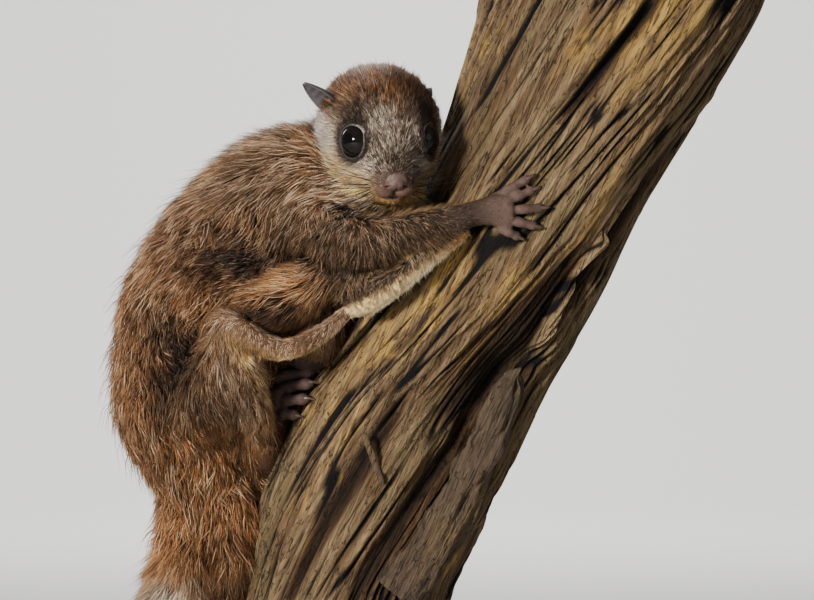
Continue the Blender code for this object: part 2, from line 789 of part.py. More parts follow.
def clear_of(point, obstacles):
    """Whether a point keeps the locks' clearance to every obstacle."""
    return all(distance(point) > LOCK_CLEARANCE for distance in obstacles)


def distance_to(line):
    """A function that gives a point's distance to a line's outline."""
    def distance(point):
        gaps = np.linalg.norm(line.rows[:, :3] - point, axis=1)
        near = gaps.argmin()
        return gaps[near] - max(line.rows[near, 3:])
    return distance


def distance_to_trunk(point):
    middle, wide, deep = trunk_section(np.clip(point[2], TRUNK[0][0], TRUNK[-1][0]))
    share = math.hypot((point[0] - middle) / wide, point[1] / deep)
    return (share - 1) * min(wide, deep)


def distance_to_head(point):
    return np.linalg.norm(point - np.array(HEAD_AT)) - HEAD[3][2] - 1.0


def neck_under(s):
    """The neck's core sinks evenly under the outline, to meet the torso's."""
    return TORSO_CORE * np.clip((s - 12.0) / (NECK_END - 12.0), 0, 1)


def torso_under(s):
    return TORSO_CORE


def build_spine(parts, spare, whole_head, obstacles):
    """Neck, torso and the three lengths of the tail, all on the line of the spine."""
    spine = Line(SPINE)

    def tail_under(s):
        share = np.clip((s - TORSO_END) / 30.0, 0, 1)
        return TORSO_CORE + (TAIL_CORE * spine.radius(s) - TORSO_CORE) * share

    seams = [0.0, NECK_END, TORSO_END, TAIL_BASE_END, TAIL_MIDDLE_END, spine.length]
    kinds = [
        ("neck", "coat", 16, 7, neck_under, NECK_LOCKS),
        ("torso", "coat", 18, 11, torso_under, TORSO_LOCKS),
        ("tail_base", "tail", 9, 5, tail_under, TAIL_LOCKS),
        ("tail_middle", "tail", 9, 5, tail_under, TAIL_LOCKS),
        ("tail_tip", "tail", 9, 6, tail_under, TAIL_LOCKS),
    ]
    makers = []
    for number, (name, paint, sides, rings, under, plan) in enumerate(kinds):
        start, end = seams[number], seams[number + 1]
        make = maker(parts, spare, paint, spine, sides, rings, start, end, under)
        core = make(name)
        if number < 2:
            cut(core, whole_head)
        locks = grown_locks(spine, plan, under, (start, end), obstacles, paint, spare)
        keep_largest(boolean(core, locks, "UNION"))
        makers.append(make)
    return makers[:3]


def digit_solids(root, tip, bow, radius, outward, claw_way, spare):
    """A digit from root to tip, bowed outward, and its claw hooked towards the wood."""
    outward = unit(np.array(outward, float))
    middle = (root + tip) / 2 + outward * bow
    reach = unit(tip - middle)
    rows = [
        (*root, radius * 1.1, radius * 1.1),
        (*middle, radius, radius),
        (*tip, radius * 0.85, radius * 0.85),
        (*(tip + reach * radius * 0.8), radius * 0.4, radius * 0.4),
    ]
    side = unit(np.cross(tip - root, outward))
    start = tip + outward * radius * 0.35
    bend = start + reach * CLAW_LENGTH * 0.55 + outward * 0.4
    point = start + reach * CLAW_LENGTH * 0.85 + np.array(claw_way) * CLAW_LENGTH * 0.45
    claw = [
        (*start, CLAW_RADIUS, CLAW_RADIUS * 1.3),
        (*bend, CLAW_RADIUS * 0.7, CLAW_RADIUS),
        (*point, 0.25, 0.3),
    ]
    return [
        tube("digit", Line(rows, side), "skin", spare, 6, 4),
        tube("claw", Line(claw, side), "skin", spare, 4, 3),
    ]


def turned(table, side):
    """A table of the animal's right side, or the same mirrored where side is 1, for its left."""
    return mirrored(table) if side > 0 else table


def arm_line(side):
    """side is -1 for the animal's right, which is the -Y side, and 1 for its left."""
    rise = LEFT_HAND_RISE if side > 0 else 0.0
    reach = ARM[-1][0] - ARM_RISES_FROM
    table = [(x, y, z + rise * max(0.0, (x - ARM_RISES_FROM) / reach), r) for x, y, z, r in ARM]
    return Line(rounded(turned(table, side)), side=(0.0, 0.0, 1.0))


def leg_lines(side):
    lengthwise = (1.0, 0.0, 0.0)
    thigh = Line(rounded(turned(THIGH, side)), lengthwise)
    shank = Line(rounded(turned(SHANK, side)), lengthwise)
    return thigh, shank, Line(turned(SOLE, side))


def membrane_lines(side):
    return [Line(turned(table, side)) for table in (MEMBRANE_FLANK, MEMBRANE_REAR, MEMBRANE_FRONT)]


def build_arm(label, side, parts, spare, others, trunk):
    rise = LEFT_HAND_RISE if side > 0 else 0.0
    arm = arm_line(side)
    elbow = arm.length * ELBOW_AT
    upper = maker(parts, spare, "coat", arm, 12, 6, 0.0, elbow)
    fore = maker(parts, spare, "coat", arm, 12, 6, elbow)
    cut(upper(f"upper_arm_{label}"), *others)
    cut(fore(f"forearm_{label}"), *others, upper, trunk)

    palm = Line([(x, -y * side, z + rise, a, b) for x, y, z, a, b in PALM], side=(0.0, 0.0, 1.0))
    hand = tube(f"hand_{label}", palm, "skin", parts, 10, 6)
    digits = []
    for x, z, length, slope in FINGERS:
        turn = math.radians(slope)
        far_x, far_z = x + length * math.cos(turn), z + rise + length * math.sin(turn)
        root = trunk_face(x, z + rise, KNUCKLE_LIFT, side)
        tip = trunk_face(far_x, far_z, FINGER_RADIUS * 0.85 + 0.9, side)
        digits += digit_solids(root, tip, FINGER_BOW, FINGER_RADIUS, (0, side, 0), (0, -side, 0), spare)
    boolean(hand, digits, "UNION")
    cut(hand, fore, trunk)
    return [upper, fore]


def build_leg(label, side, parts, spare, torso, tail, trunk):
    thigh_line, shank_line, sole = leg_lines(side)
    thigh = maker(parts, spare, "coat", thigh_line, 14, 7)
    shank = maker(parts, spare, "coat", shank_line, 12, 6)
    cut(thigh(f"thigh_{label}"), torso, tail)
    cut(shank(f"shank_{label}"), thigh, torso)
    foot = tube(f"foot_{label}", sole, "skin", parts, 10, 6)
    digits = []
    knuckles = [(x, -y * side, z) for x, y, z in TOE_ROOTS]
    for root, (turn, z, radius) in zip(knuckles, TOES):
        tip = trunk_point(math.radians(turn), z, radius * 0.85 + 1.2, relief=False) * (1.0, -side, 1.0)
        outward = (-1.0, 0.8 * side, 0.3)
        digits += digit_solids(np.array(root), tip, 2.0, radius, outward, (0.8, -0.3 * side, -0.4), spare)
    boolean(foot, digits, "UNION")
    cut(foot, shank, thigh, torso, trunk)
    return [thigh, shank]


def build_membrane(label, side, parts, spare, others):
    flank_line, rear_line, front_line = membrane_lines(side)
    flank = maker(parts, spare, "coat", flank_line, 12, 6)
    rear = maker(parts, spare, "membrane", rear_line, 8, 9)
    front = maker(parts, spare, "membrane_hem", front_line, 8, 7)
    cut(flank(f"membrane_flank_{label}"), *others)
    cut(rear(f"membrane_rear_hem_{label}"), flank, *others)
    cut(front(f"membrane_front_hem_{label}"), rear, flank, *others)


def main():
    clear_scene()
    parts = collection("flying_squirrel")
    spare = collection("cutters")
    spare.hide_render = True
    build_stand(parts)
    build_trunk(parts, spare)
    whole_head = build_head(parts, spare)
    obstacles = [distance_to_trunk, distance_to_head]
    for side in (-1, 1):
        lines = [arm_line(side), *leg_lines(side), *membrane_lines(side)]
        obstacles += [distance_to(line) for line in lines]
    neck, torso, tail = build_spine(parts, spare, whole_head, obstacles)

    def trunk():
        return trunk_solid("trunk cutter", spare, GAP)

    for label, side in (("right", -1), ("left", 1)):
        arm = build_arm(label, side, parts, spare, [torso, neck, whole_head], trunk)
        leg = build_leg(label, side, parts, spare, torso, tail, trunk)
        build_membrane(label, side, parts, spare, [torso, *arm, *leg, trunk])


main()
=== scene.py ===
"""Looks of the young giant flying squirrel on its perch: skin, coat, eyes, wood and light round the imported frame.

Tables are in millimetres, in the frame of the solids: +Z up, -Y the side that the face looks out from.
"""

import math

import bmesh
import bpy
import numpy as np
from mathutils import Matrix, Vector
from mathutils.bvhtree import BVHTree
from mathutils.kdtree import KDTree


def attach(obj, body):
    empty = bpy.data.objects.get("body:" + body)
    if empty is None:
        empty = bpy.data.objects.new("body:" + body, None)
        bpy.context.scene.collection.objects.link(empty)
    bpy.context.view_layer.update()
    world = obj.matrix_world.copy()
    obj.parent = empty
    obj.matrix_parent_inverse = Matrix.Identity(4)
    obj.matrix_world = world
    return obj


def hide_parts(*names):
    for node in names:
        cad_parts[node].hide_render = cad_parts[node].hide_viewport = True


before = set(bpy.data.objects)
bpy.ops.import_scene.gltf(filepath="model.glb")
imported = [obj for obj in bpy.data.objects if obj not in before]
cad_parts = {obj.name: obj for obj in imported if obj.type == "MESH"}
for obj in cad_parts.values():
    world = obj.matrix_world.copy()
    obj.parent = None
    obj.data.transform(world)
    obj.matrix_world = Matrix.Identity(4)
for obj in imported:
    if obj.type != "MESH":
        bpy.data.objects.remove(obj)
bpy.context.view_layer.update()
DRAW = np.random.default_rng(7)
MM = 0.001

# Lines of the solids: x, y, z and two half widths, out to the tips of the coat
SPINE = [
    (-17.0, -25.0, 489.0, 26.0, 25.0),
    (-41.0, -11.0, 485.0, 31.0, 30.0),
    (-65.0, -3.0, 470.0, 40.0, 39.0),
    (-82.5, 0.0, 444.5, 46.0, 44.0),
    (-95.0, 0.0, 419.5, 48.0, 47.0),
    (-103.5, 0.0, 394.5, 47.0, 44.0),
    (-106.5, 0.0, 369.5, 43.0, 41.0),
    (-104.0, 0.0, 347.0, 34.0, 33.0),
    (-101.5, 0.0, 329.5, 27.0, 26.0),
    (-102.5, 0.0, 312.0, 25.0, 24.5),
    (-106.0, -1.0, 292.0, 25.0, 24.5),
    (-111.5, -3.0, 272.0, 27.0, 26.0),
    (-116.5, -6.0, 250.0, 28.0, 27.0),
    (-120.0, -9.0, 222.0, 28.0, 27.0),
    (-121.0, -12.0, 192.0, 27.0, 26.0),
    (-118.5, -14.0, 162.0, 25.0, 24.0),
    (-114.0, -15.0, 132.0, 22.0, 21.0),
    (-108.0, -15.0, 102.0, 18.0, 17.0),
    (-101.0, -14.0, 74.0, 13.0, 12.0),
    (-94.0, -12.0, 47.0, 8.0, 7.5),
    (-90.0, -11.0, 27.0, 2.0, 2.0),
]
ARM = [
    (-60.0, -14.0, 463.0, 24.0, 24.0),
    (-48.0, -26.0, 458.0, 22.0, 22.0),
    (-30.0, -37.0, 451.0, 18.5, 18.5),
    (-10.0, -46.0, 450.5, 15.5, 15.5),
    (10.0, -52.5, 456.5, 12.0, 12.0),
    (22.0, -54.5, 461.0, 8.4, 8.4),
    (32.5, -55.0, 464.0, 5.9, 5.9),
]
THIGH = [
    (-100.0, -20.0, 366.0, 25.0, 25.0),
    (-95.0, -32.0, 378.0, 24.0, 24.0),
    (-88.0, -41.0, 393.0, 18.0, 18.0),
    (-83.5, -45.5, 404.0, 12.5, 12.5),
    (-82.5, -46.5, 407.5, 7.0, 7.0),
]
SHANK = [
    (-84.5, -46.0, 403.0, 9.5, 9.5),
    (-79.0, -45.0, 389.0, 12.0, 12.0),
    (-75.0, -39.5, 370.0, 11.0, 11.0),
    (-71.0, -31.0, 359.0, 7.6, 7.6),
    (-69.0, -24.0, 354.0, 5.8, 5.8),
]
MEMBRANE_FLANK = [
    (-30.0, -36.0, 440.0, 8.0, 10.0),
    (-38.0, -39.0, 435.0, 12.0, 14.0),
    (-53.0, -41.0, 426.0, 14.0, 17.0),
    (-72.0, -41.0, 416.0, 14.0, 16.0),
    (-86.0, -38.0, 409.0, 11.0, 12.0),
]
MEMBRANE_FRONT = [
    (31.0, -55.0, 455.5, 3.0, 3.0),
    (16.0, -55.5, 446.0, 4.5, 6.0),
    (-3.0, -54.0, 432.0, 5.5, 7.5),
    (-18.0, -51.0, 422.5, 5.5, 8.0),
    (-27.0, -48.5, 418.5, 5.0, 6.0),
]
MEMBRANE_REAR = [
    (-26.5, -49.5, 418.0, 4.0, 4.2),
    (-40.0, -52.0, 406.0, 5.0, 5.4),
    (-57.0, -54.5, 398.0, 5.8, 6.0),
    (-70.0, -55.5, 401.0, 6.6, 6.8),
    (-81.0, -54.5, 408.5, 7.4, 7.8),
    (-91.0, -47.0, 411.0, 7.6, 8.0),
]
PALM = [
    (29.0, -54.6, 463.4, 6.0, 6.0),
    (34.0, -55.0, 464.2, 6.4, 5.9),
    (39.0, -55.5, 465.0, 7.0, 5.4),
    (45.0, -56.0, 465.5, 8.2, 4.9),
    (51.0, -56.2, 465.0, 8.0, 4.1),
    (53.0, -56.3, 465.0, 6.8, 2.9),
]
SOLE = [
    (-68.5, -21.0, 350.0, 4.3, 4.8),
    (-67.5, -19.5, 354.0, 5.6, 5.6),
    (-64.5, -18.0, 361.0, 6.3, 5.3),
    (-63.5, -19.0, 374.0, 7.3, 5.3),
    (-64.0, -20.0, 379.0, 5.3, 4.3),
]
FINGERS = [
    (42.5, 471.0, 20.0, 30.0),
    (48.5, 469.5, 15.0, 24.0),
    (50.5, 465.5, 16.0, 5.0),
    (49.5, 461.0, 14.0, -12.0),
    (46.0, 457.0, 10.0, -25.0),
]
KNUCKLE_LIFT = 4.6
FINGER_BOW = 2.2
FINGER_RADIUS = 2.4
CLAW_LENGTH = 6.0
CLAW_RADIUS = 1.1
DIGIT_SHARE = 0.98
TOES = [
    (16.0, 386.0, 3.5),
    (24.0, 380.5, 3.1),
    (29.0, 373.0, 3.1),
    (27.0, 365.0, 2.9),
    (4.0, 384.0, 2.9),
]
TOE_ROOTS = [
    (-64.0, -17.0, 382.0),
    (-63.3, -18.7, 376.7),
    (-62.7, -20.3, 371.3),
    (-62.0, -22.0, 366.0),
    (-64.0, -12.0, 377.0),
]
LEFT_HAND_RISE = 9.0
ARM_RISES_FROM = -30.0

# Head, in its own frame: x to the animal's right, y forward, z up
HEAD_AT = (-12.5, -34.0, 504.5)
HEAD_YAW = 14.0
HEAD_PITCH = 22.0
HEAD_ROLL = -2.0
HEAD = [
    (-34.0, 2.0, 9.0, 9.0),
    (-30.0, 2.0, 19.0, 18.5),
    (-20.0, 2.0, 27.5, 27.5),
    (-7.0, 1.5, 31.5, 32.0),
    (5.0, 1.0, 31.0, 31.5),
    (14.0, -1.0, 27.5, 28.0),
    (21.0, -4.0, 23.0, 23.5),
    (27.0, -7.5, 18.0, 18.0),
    (32.0, -11.0, 13.5, 13.5),
    (36.5, -13.0, 10.0, 10.0),
    (39.5, -14.5, 6.5, 7.0),
]
JAW = [
    (8.0, -22.0, 11.0, 7.0),
    (16.0, -23.0, 10.5, 6.5),
    (24.0, -22.8, 8.8, 5.8),
    (31.0, -21.8, 6.6, 4.2),
    (35.8, -21.1, 4.4, 3.0),
]
NOSE_PLACE = (0.0, 40.2, -11.2)
NOSE_SIZE = (6.1, 5.4, 5.7)
EYE_AT = (15.5, 22.5, 4.0)
EYE_RADIUS = 9.0
EYE_TURN = 57.0
EYE_RISE = 8.0
LID_RADIUS = 7.7
NOSE_AT = (0.0, 39.0, -14.0)
# Each ear's root and tip. The left one is laid back, out of sight behind the head
EARS = {
    "right": ((23.5, -2.5, 12.0), (37.5, -8.5, 23.5)),
    "left": ((25.0, -5.0, 12.0), (28.0, -23.0, 12.0)),
}
EAR_FACES = (0.88, 0.42, -0.15)
EAR_HALF_WIDTH = 7.0
EAR_CUP_DEPTH = 4.0

# Trunk: height, middle in X, half width, half depth
TRUNK = [
    (256.0, -36.0, 49.0, 44.0),
    (272.0, -29.5, 52.0, 46.0),
    (322.0, -13.0, 60.5, 50.0),
    (372.0, 8.0, 62.0, 52.0),
    (422.0, 38.0, 59.5, 51.0),
    (472.0, 62.5, 59.0, 51.0),
    (522.0, 88.0, 64.5, 54.0),
    (580.0, 111.0, 72.0, 58.0),
]
GRAIN_TWIST = 0.0050
CRACKS = [
    (1.17, 318.0, 62.0, 7.0, 0.13),
    (1.84, 311.0, 60.0, 8.0, 0.16),
    (1.66, 545.0, 44.0, 6.0, 0.10),
    (2.50, 430.0, 90.0, 5.0, 0.16),
    (3.70, 420.0, 120.0, 6.0, 0.15),
    (4.90, 400.0, 130.0, 5.0, 0.15),
]
HOLLOW = (2.10, 402.0, 48.0, 9.0, 0.42)
SPLINTER = [
    (-4.0, -38.0, 278.0, 11.0, 8.0),
    (17.0, -41.0, 307.0, 10.0, 8.0),
    (34.0, -43.5, 340.0, 9.0, 7.0),
    (46.0, -46.0, 366.0, 8.0, 6.0),
    (54.0, -49.0, 384.0, 6.5, 4.5),
    (56.5, -50.0, 389.0, 4.5, 3.0),
]

# Colours of a hair: at its root, middle and tip, then of its pale form's tip, and how many hairs are pale
HAIR = {
    "rufous": ((0.014, 0.007, 0.004), (0.120, 0.045, 0.016), (0.46, 0.200, 0.070), (0.80, 0.57, 0.35), 0.33),
    "russet": ((0.018, 0.008, 0.004), (0.135, 0.050, 0.018), (0.45, 0.195, 0.070), (0.72, 0.48, 0.27), 0.26),
    "flank": ((0.010, 0.005, 0.003), (0.058, 0.025, 0.011), (0.37, 0.170, 0.064), (0.72, 0.48, 0.27), 0.30),
    "saddle": ((0.010, 0.006, 0.004), (0.044, 0.019, 0.008), (0.20, 0.088, 0.034), (0.58, 0.40, 0.25), 0.26),
    "grizzled": ((0.008, 0.005, 0.003), (0.030, 0.015, 0.007), (0.15, 0.073, 0.031), (0.56, 0.40, 0.26), 0.28),
    "sable": ((0.007, 0.005, 0.004), (0.023, 0.013, 0.008), (0.105, 0.052, 0.024), (0.44, 0.30, 0.18), 0.29),
    # Near-black underfur, which some strokes also use as painted shade in gaps and hollows
    "under": ((0.003, 0.002, 0.002), (0.008, 0.005, 0.004), (0.020, 0.012, 0.008), (0.24, 0.13, 0.06), 0.06),
    "crown": ((0.018, 0.008, 0.004), (0.100, 0.034, 0.011), (0.36, 0.135, 0.042), (0.62, 0.39, 0.21), 0.24),
    "brow": ((0.013, 0.009, 0.006), (0.048, 0.030, 0.020), (0.19, 0.128, 0.084), (0.76, 0.65, 0.52), 0.40),
    "temple": ((0.042, 0.029, 0.021), (0.215, 0.155, 0.105), (0.59, 0.475, 0.350), (0.94, 0.86, 0.73), 0.52),
    "cheek": ((0.085, 0.042, 0.014), (0.460, 0.255, 0.090), (0.90, 0.600, 0.280), (0.98, 0.82, 0.56), 0.45),
    "buff": ((0.100, 0.044, 0.012), (0.500, 0.260, 0.080), (0.90, 0.560, 0.220), (0.96, 0.74, 0.42), 0.45),
    "ring": ((0.006, 0.004, 0.003), (0.020, 0.014, 0.010), (0.050, 0.035, 0.026), (0.17, 0.13, 0.10), 0.10),
    "bridge": ((0.008, 0.005, 0.004), (0.030, 0.017, 0.012), (0.07, 0.043, 0.031), (0.34, 0.25, 0.18), 0.15),
    "muzzle": ((0.040, 0.021, 0.017), (0.105, 0.058, 0.045), (0.21, 0.130, 0.100), (0.52, 0.40, 0.31), 0.22),
    "wrist": ((0.020, 0.012, 0.009), (0.062, 0.038, 0.027), (0.135, 0.088, 0.064), (0.42, 0.31, 0.23), 0.22),
    "roll": ((0.028, 0.013, 0.008), (0.145, 0.070, 0.033), (0.39, 0.222, 0.115), (0.82, 0.65, 0.47), 0.38),
    "edge": ((0.100, 0.042, 0.011), (0.440, 0.225, 0.070), (0.66, 0.400, 0.160), (0.84, 0.64, 0.37), 0.35),
    "cream": ((0.520, 0.310, 0.115), (0.900, 0.670, 0.350), (0.96, 0.790, 0.480), (0.98, 0.89, 0.67), 0.40),
    "tail": ((0.012, 0.006, 0.003), (0.062, 0.024, 0.009), (0.25, 0.104, 0.036), (0.58, 0.36, 0.18), 0.24),
    "tail_pale": ((0.020, 0.010, 0.006), (0.110, 0.052, 0.022), (0.38, 0.215, 0.100), (0.70, 0.51, 0.32), 0.33),
}
SKIN_TONE = (0.032, 0.017, 0.013)
FOOT_TONE = (0.062, 0.040, 0.034)
HAND_TONE = (0.088, 0.056, 0.045)
NOSE_TONE = (0.080, 0.045, 0.035)
LID_TONE = (0.010, 0.008, 0.008)
# The belly fills the gap behind the membrane, and a stroke paints it near black there as shade
BELLY = ((-48.0, 0.0, 416.0), (21.0, 36.0, 34.0))
GROIN = ((-70.0, 0.0, 362.0), (16.0, 25.0, 32.0))
WEB = ((-22.0, -45.0, 431.0), (13.0, 5.0, 8.5))
RIM_TONE = (0.170, 0.125, 0.108)


def smoothstep(low, high, value):
    t = np.clip((value - low) / (high - low), 0, 1)
    return t * t * (3 - 2 * t)


def unit(vectors):
    vectors = np.asarray(vectors, float)
    return vectors / np.maximum(np.linalg.norm(vectors, axis=-1, keepdims=True), 1e-9)


def lattice(cells, seed):
    """A repeatable number from 0 to 1 for each whole grid point."""
    mix = np.full(cells.shape[:-1], seed * 144665, np.int64)
    for axis, prime in zip(range(cells.shape[-1]), (374761393, 668265263, 1274126177)):
        mix = mix + cells[..., axis] * prime
    mix = (mix ^ (mix >> 13)) * 1274126177 & 0xFFFFFFFF
    mix = (mix ^ (mix >> 15)) * 2246822519 & 0xFFFFFFFF
    return ((mix ^ (mix >> 16)) & 0xFFFFFF) / 0xFFFFFF


def noise(points, seed=0):
    """Smooth noise from -1 to 1 with features one unit wide, in two or three dimensions."""
    base = np.floor(points).astype(np.int64)
    part = points - base
    part = part * part * (3 - 2 * part)
    total = 0.0
    size = points.shape[-1]
    for corner in range(2**size):
        offset = np.array([(corner >> axis) & 1 for axis in range(size)])
        weight = np.prod(np.where(offset, part, 1 - part), axis=-1)
        total = total + weight * lattice(base + offset, seed)
    return total * 2 - 1


def smooth_through(rows, where):
    """Points of a Catmull-Rom curve through the rows. where runs from 0 to the last row's number."""
    last = len(rows) - 1
    low = np.clip(np.floor(where).astype(int), 0, last - 1)
    u = (where - low)[:, None]
    a, b, c, d = (rows[np.clip(low + k, 0, last)] for k in (-1, 0, 1, 2))
    curve = (2 * a - 5 * b + 4 * c - d) * u**2 + (3 * b - a - 3 * c + d) * u**3
    return 0.5 * (2 * b + (c - a) * u + curve)


class Line:
    """A bent, tapered length of body, sampled along its centreline."""

    def __init__(self, table, side=(0.0, 1.0, 0.0), samples=120):
        rows = np.array(table, float)
        self.rows = smooth_through(rows, np.linspace(0, len(rows) - 1, samples))
        steps = np.linalg.norm(np.diff(self.rows[:, :3], axis=0), axis=1)
        self.arc = np.concatenate([[0.0], np.cumsum(steps)])
        self.length = self.arc[-1]
        self.tangent = unit(np.gradient(self.rows[:, :3], axis=0))
        across = np.array(side, float) - self.tangent * (self.tangent @ np.array(side, float))[:, None]
        self.side = unit(across)
        self.up = np.cross(self.tangent, self.side)

    def at(self, field, s):
        return np.array([np.interp(s, self.arc, column) for column in np.atleast_2d(field.T)]).T

    def rings(self, stops, sides, inset, least=0.4):
        """Ring points at the stops, drawn in by inset(stops)."""
        row = self.at(self.rows, stops)
        side, up = self.at(self.side, stops), self.at(self.up, stops)
        turn = 2 * np.pi * np.arange(sides) / sides
        depth = inset(stops)
        wide = np.maximum(row[:, 3] - depth, least)[:, None, None] * np.cos(turn)[None, :, None]
        thick = np.maximum(row[:, 4] - depth, least)[:, None, None] * np.sin(turn)[None, :, None]
        return row[:, None, :3] + side[:, None] * wide + up[:, None] * thick


def mesh_from(name, points, faces, scale=MM):
    """An object from arrays of points and of triangles or quads."""
    mesh = bpy.data.meshes.new(name)
    points, faces = np.asarray(points, float), np.asarray(faces, np.int32)
    mesh.vertices.add(len(points))
    mesh.vertices.foreach_set("co", (points * scale).astype(np.float32).ravel())
    sides = faces.shape[1]
    mesh.loops.add(faces.size)
    mesh.loops.foreach_set("vertex_index", faces.ravel())
    mesh.polygons.add(len(faces))
    mesh.polygons.foreach_set("loop_start", np.arange(0, faces.size, sides, dtype=np.int32))
    mesh.update(calc_edges=True)
    mesh.shade_smooth()
    obj = bpy.data.objects.new(name, mesh)
    bpy.context.scene.collection.objects.link(obj)
    return obj


def ring_faces(rings, sides, start=0):
    """Triangles between rings of equal size, and fans on the two ends' centres, which are the last two points."""
    r, k = np.meshgrid(np.arange(rings - 1), np.arange(sides), indexing="ij")
    a, b = r * sides + k, r * sides + (k + 1) % sides
    walls = np.concatenate([np.stack([a, b, b + sides], -1), np.stack([a, b + sides, a + sides], -1)]).reshape(-1, 3)
    k = np.arange(sides)
    low, high = rings * sides, rings * sides + 1
    last = (rings - 1) * sides
    caps = [np.stack([(k + 1) % sides, k, np.full(sides, low)], -1)]
    caps.append(np.stack([last + k, last + (k + 1) % sides, np.full(sides, high)], -1))
    return np.concatenate([walls, *caps]) + start


def loft(name, rings, scale=1.0):
    """A closed object through rings of equal size."""
    count, sides = rings.shape[:2]
    points = np.concatenate([rings.reshape(-1, 3), rings[:1].mean(1), rings[-1:].mean(1)])
    obj = mesh_from(name, points, ring_faces(count, sides), scale)
    turn_out(obj)
    return obj


def turn_out(obj):
    made = bmesh.new()
    made.from_mesh(obj.data)
    bmesh.ops.recalc_face_normals(made, faces=made.faces)
    made.to_mesh(obj.data)
    made.free()


def ball(name, centre, half, axes=None, segments=32, rings=20, scale=1.0):
    """An ellipsoid. The last half size lies along the last column of axes."""
    made = bmesh.new()
    bmesh.ops.create_uvsphere(made, u_segments=segments, v_segments=rings, radius=1.0)
    mesh = bpy.data.meshes.new(name)
    made.to_mesh(mesh)
    made.free()
    points = np.empty(len(mesh.vertices) * 3)
    mesh.vertices.foreach_get("co", points)
    points = points.reshape(-1, 3) * np.array(half)
    if axes is not None:
        points = points @ np.array(axes).T
    mesh.vertices.foreach_set("co", ((points + np.array(centre)) * scale).astype(np.float32).ravel())
    mesh.shade_smooth()
    obj = bpy.data.objects.new(name, mesh)
    bpy.context.scene.collection.objects.link(obj)
    return obj


def modified(obj, kind, **settings):
    """Adds a modifier with these settings and applies it."""
    modifier = obj.modifiers.new(kind.lower(), kind)
    for key, value in settings.items():
        setattr(modifier, key, value)
    bpy.context.view_layer.objects.active = obj
    with bpy.context.temp_override(object=obj, active_object=obj, selected_objects=[obj]):
        bpy.ops.object.modifier_apply(modifier=modifier.name)
    return obj


def joined(objects, name):
    """One object that holds the meshes of all of them."""
    made = bmesh.new()
    for obj in objects:
        made.from_mesh(obj.data)
    mesh = bpy.data.meshes.new(name)
    made.to_mesh(mesh)
    made.free()
    for obj in objects:
        bpy.data.objects.remove(obj)
    mesh.shade_smooth()
    obj = bpy.data.objects.new(name, mesh)
    bpy.context.scene.collection.objects.link(obj)
    return obj


def boolean(obj, other, operation):
    modified(obj, "BOOLEAN", object=other, operation=operation, solver="MANIFOLD")
    bpy.data.objects.remove(other)
    return obj


def points_of(obj):
    points = np.empty(len(obj.data.vertices) * 3, np.float32)
    obj.data.vertices.foreach_get("co", points)
    return points.reshape(-1, 3).astype(float)


def normals_of(obj):
    normals = np.empty(len(obj.data.vertices) * 3, np.float32)
    obj.data.vertex_normals.foreach_get("vector", normals)
    return normals.reshape(-1, 3).astype(float)


def set_points(obj, points):
    obj.data.vertices.foreach_set("co", points.astype(np.float32).ravel())
    obj.data.update()


def paint(obj, colours, name="paint"):
    """Stores a colour for each point, which materials read by the same name."""
    layer = obj.data.color_attributes.new(name, "FLOAT_COLOR", "POINT")
    full = np.ones((len(colours), 4), np.float32)
    full[:, :3] = colours
    layer.data.foreach_set("color", full.ravel())


def kept(obj, slot, *nodes):
    """Puts a finished piece on the model's one body and hides the solids that it stands for. The slot is not used."""
    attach(obj, "root")
    if nodes:
        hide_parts(*nodes)
    return obj


# Head frame
def head_axes():
    yaw, pitch, roll = (math.radians(v) for v in (HEAD_YAW, HEAD_PITCH, HEAD_ROLL))
    level = np.array([math.sin(yaw), -math.cos(yaw), 0.0])
    right = np.array([-math.cos(yaw), -math.sin(yaw), 0.0])
    up = np.array([0.0, 0.0, 1.0])
    forward = level * math.cos(pitch) - up * math.sin(pitch)
    crown = up * math.cos(pitch) + level * math.sin(pitch)
    return np.column_stack([
        right * math.cos(roll) + crown * math.sin(roll),
        forward,
        crown * math.cos(roll) - right * math.sin(roll),
    ])


AXES = head_axes()


def to_world(points):
    return np.asarray(points, float) @ AXES.T + np.array(HEAD_AT)


def to_head(points):
    return (np.asarray(points, float) - np.array(HEAD_AT)) @ AXES


def sided(place, side):
    return np.array([place[0] * side, *place[1:]], float)


def eye_axis(side):
    turn, rise = math.radians(EYE_TURN), math.radians(EYE_RISE)
    level = math.cos(rise)
    return np.array([side * math.sin(turn) * level, math.cos(turn) * level, math.sin(rise)])


def eye_frame(side):
    """Columns: across the eye towards the nose, up across the eye, out along its axis."""
    out = eye_axis(side)
    inner = unit(np.array([-side, 0.0, 0.0]) - out * (out @ np.array([-side, 0.0, 0.0])))
    return np.column_stack([inner, np.cross(out, inner) * side * -1, out])


def mirrored(table, side):
    """The table of the animal's right side, -Y, or its mirror image where side is 1."""
    return [(row[0], -row[1] * side, *row[2:]) for row in table]


def arm_table(side):
    rise = LEFT_HAND_RISE if side > 0 else 0.0
    reach = ARM[-1][0] - ARM_RISES_FROM
    rows = []
    for x, y, z, a, b in mirrored(ARM, side):
        rows.append((x, y, z + rise * max(0.0, (x - ARM_RISES_FROM) / reach), a, b))
    return rows


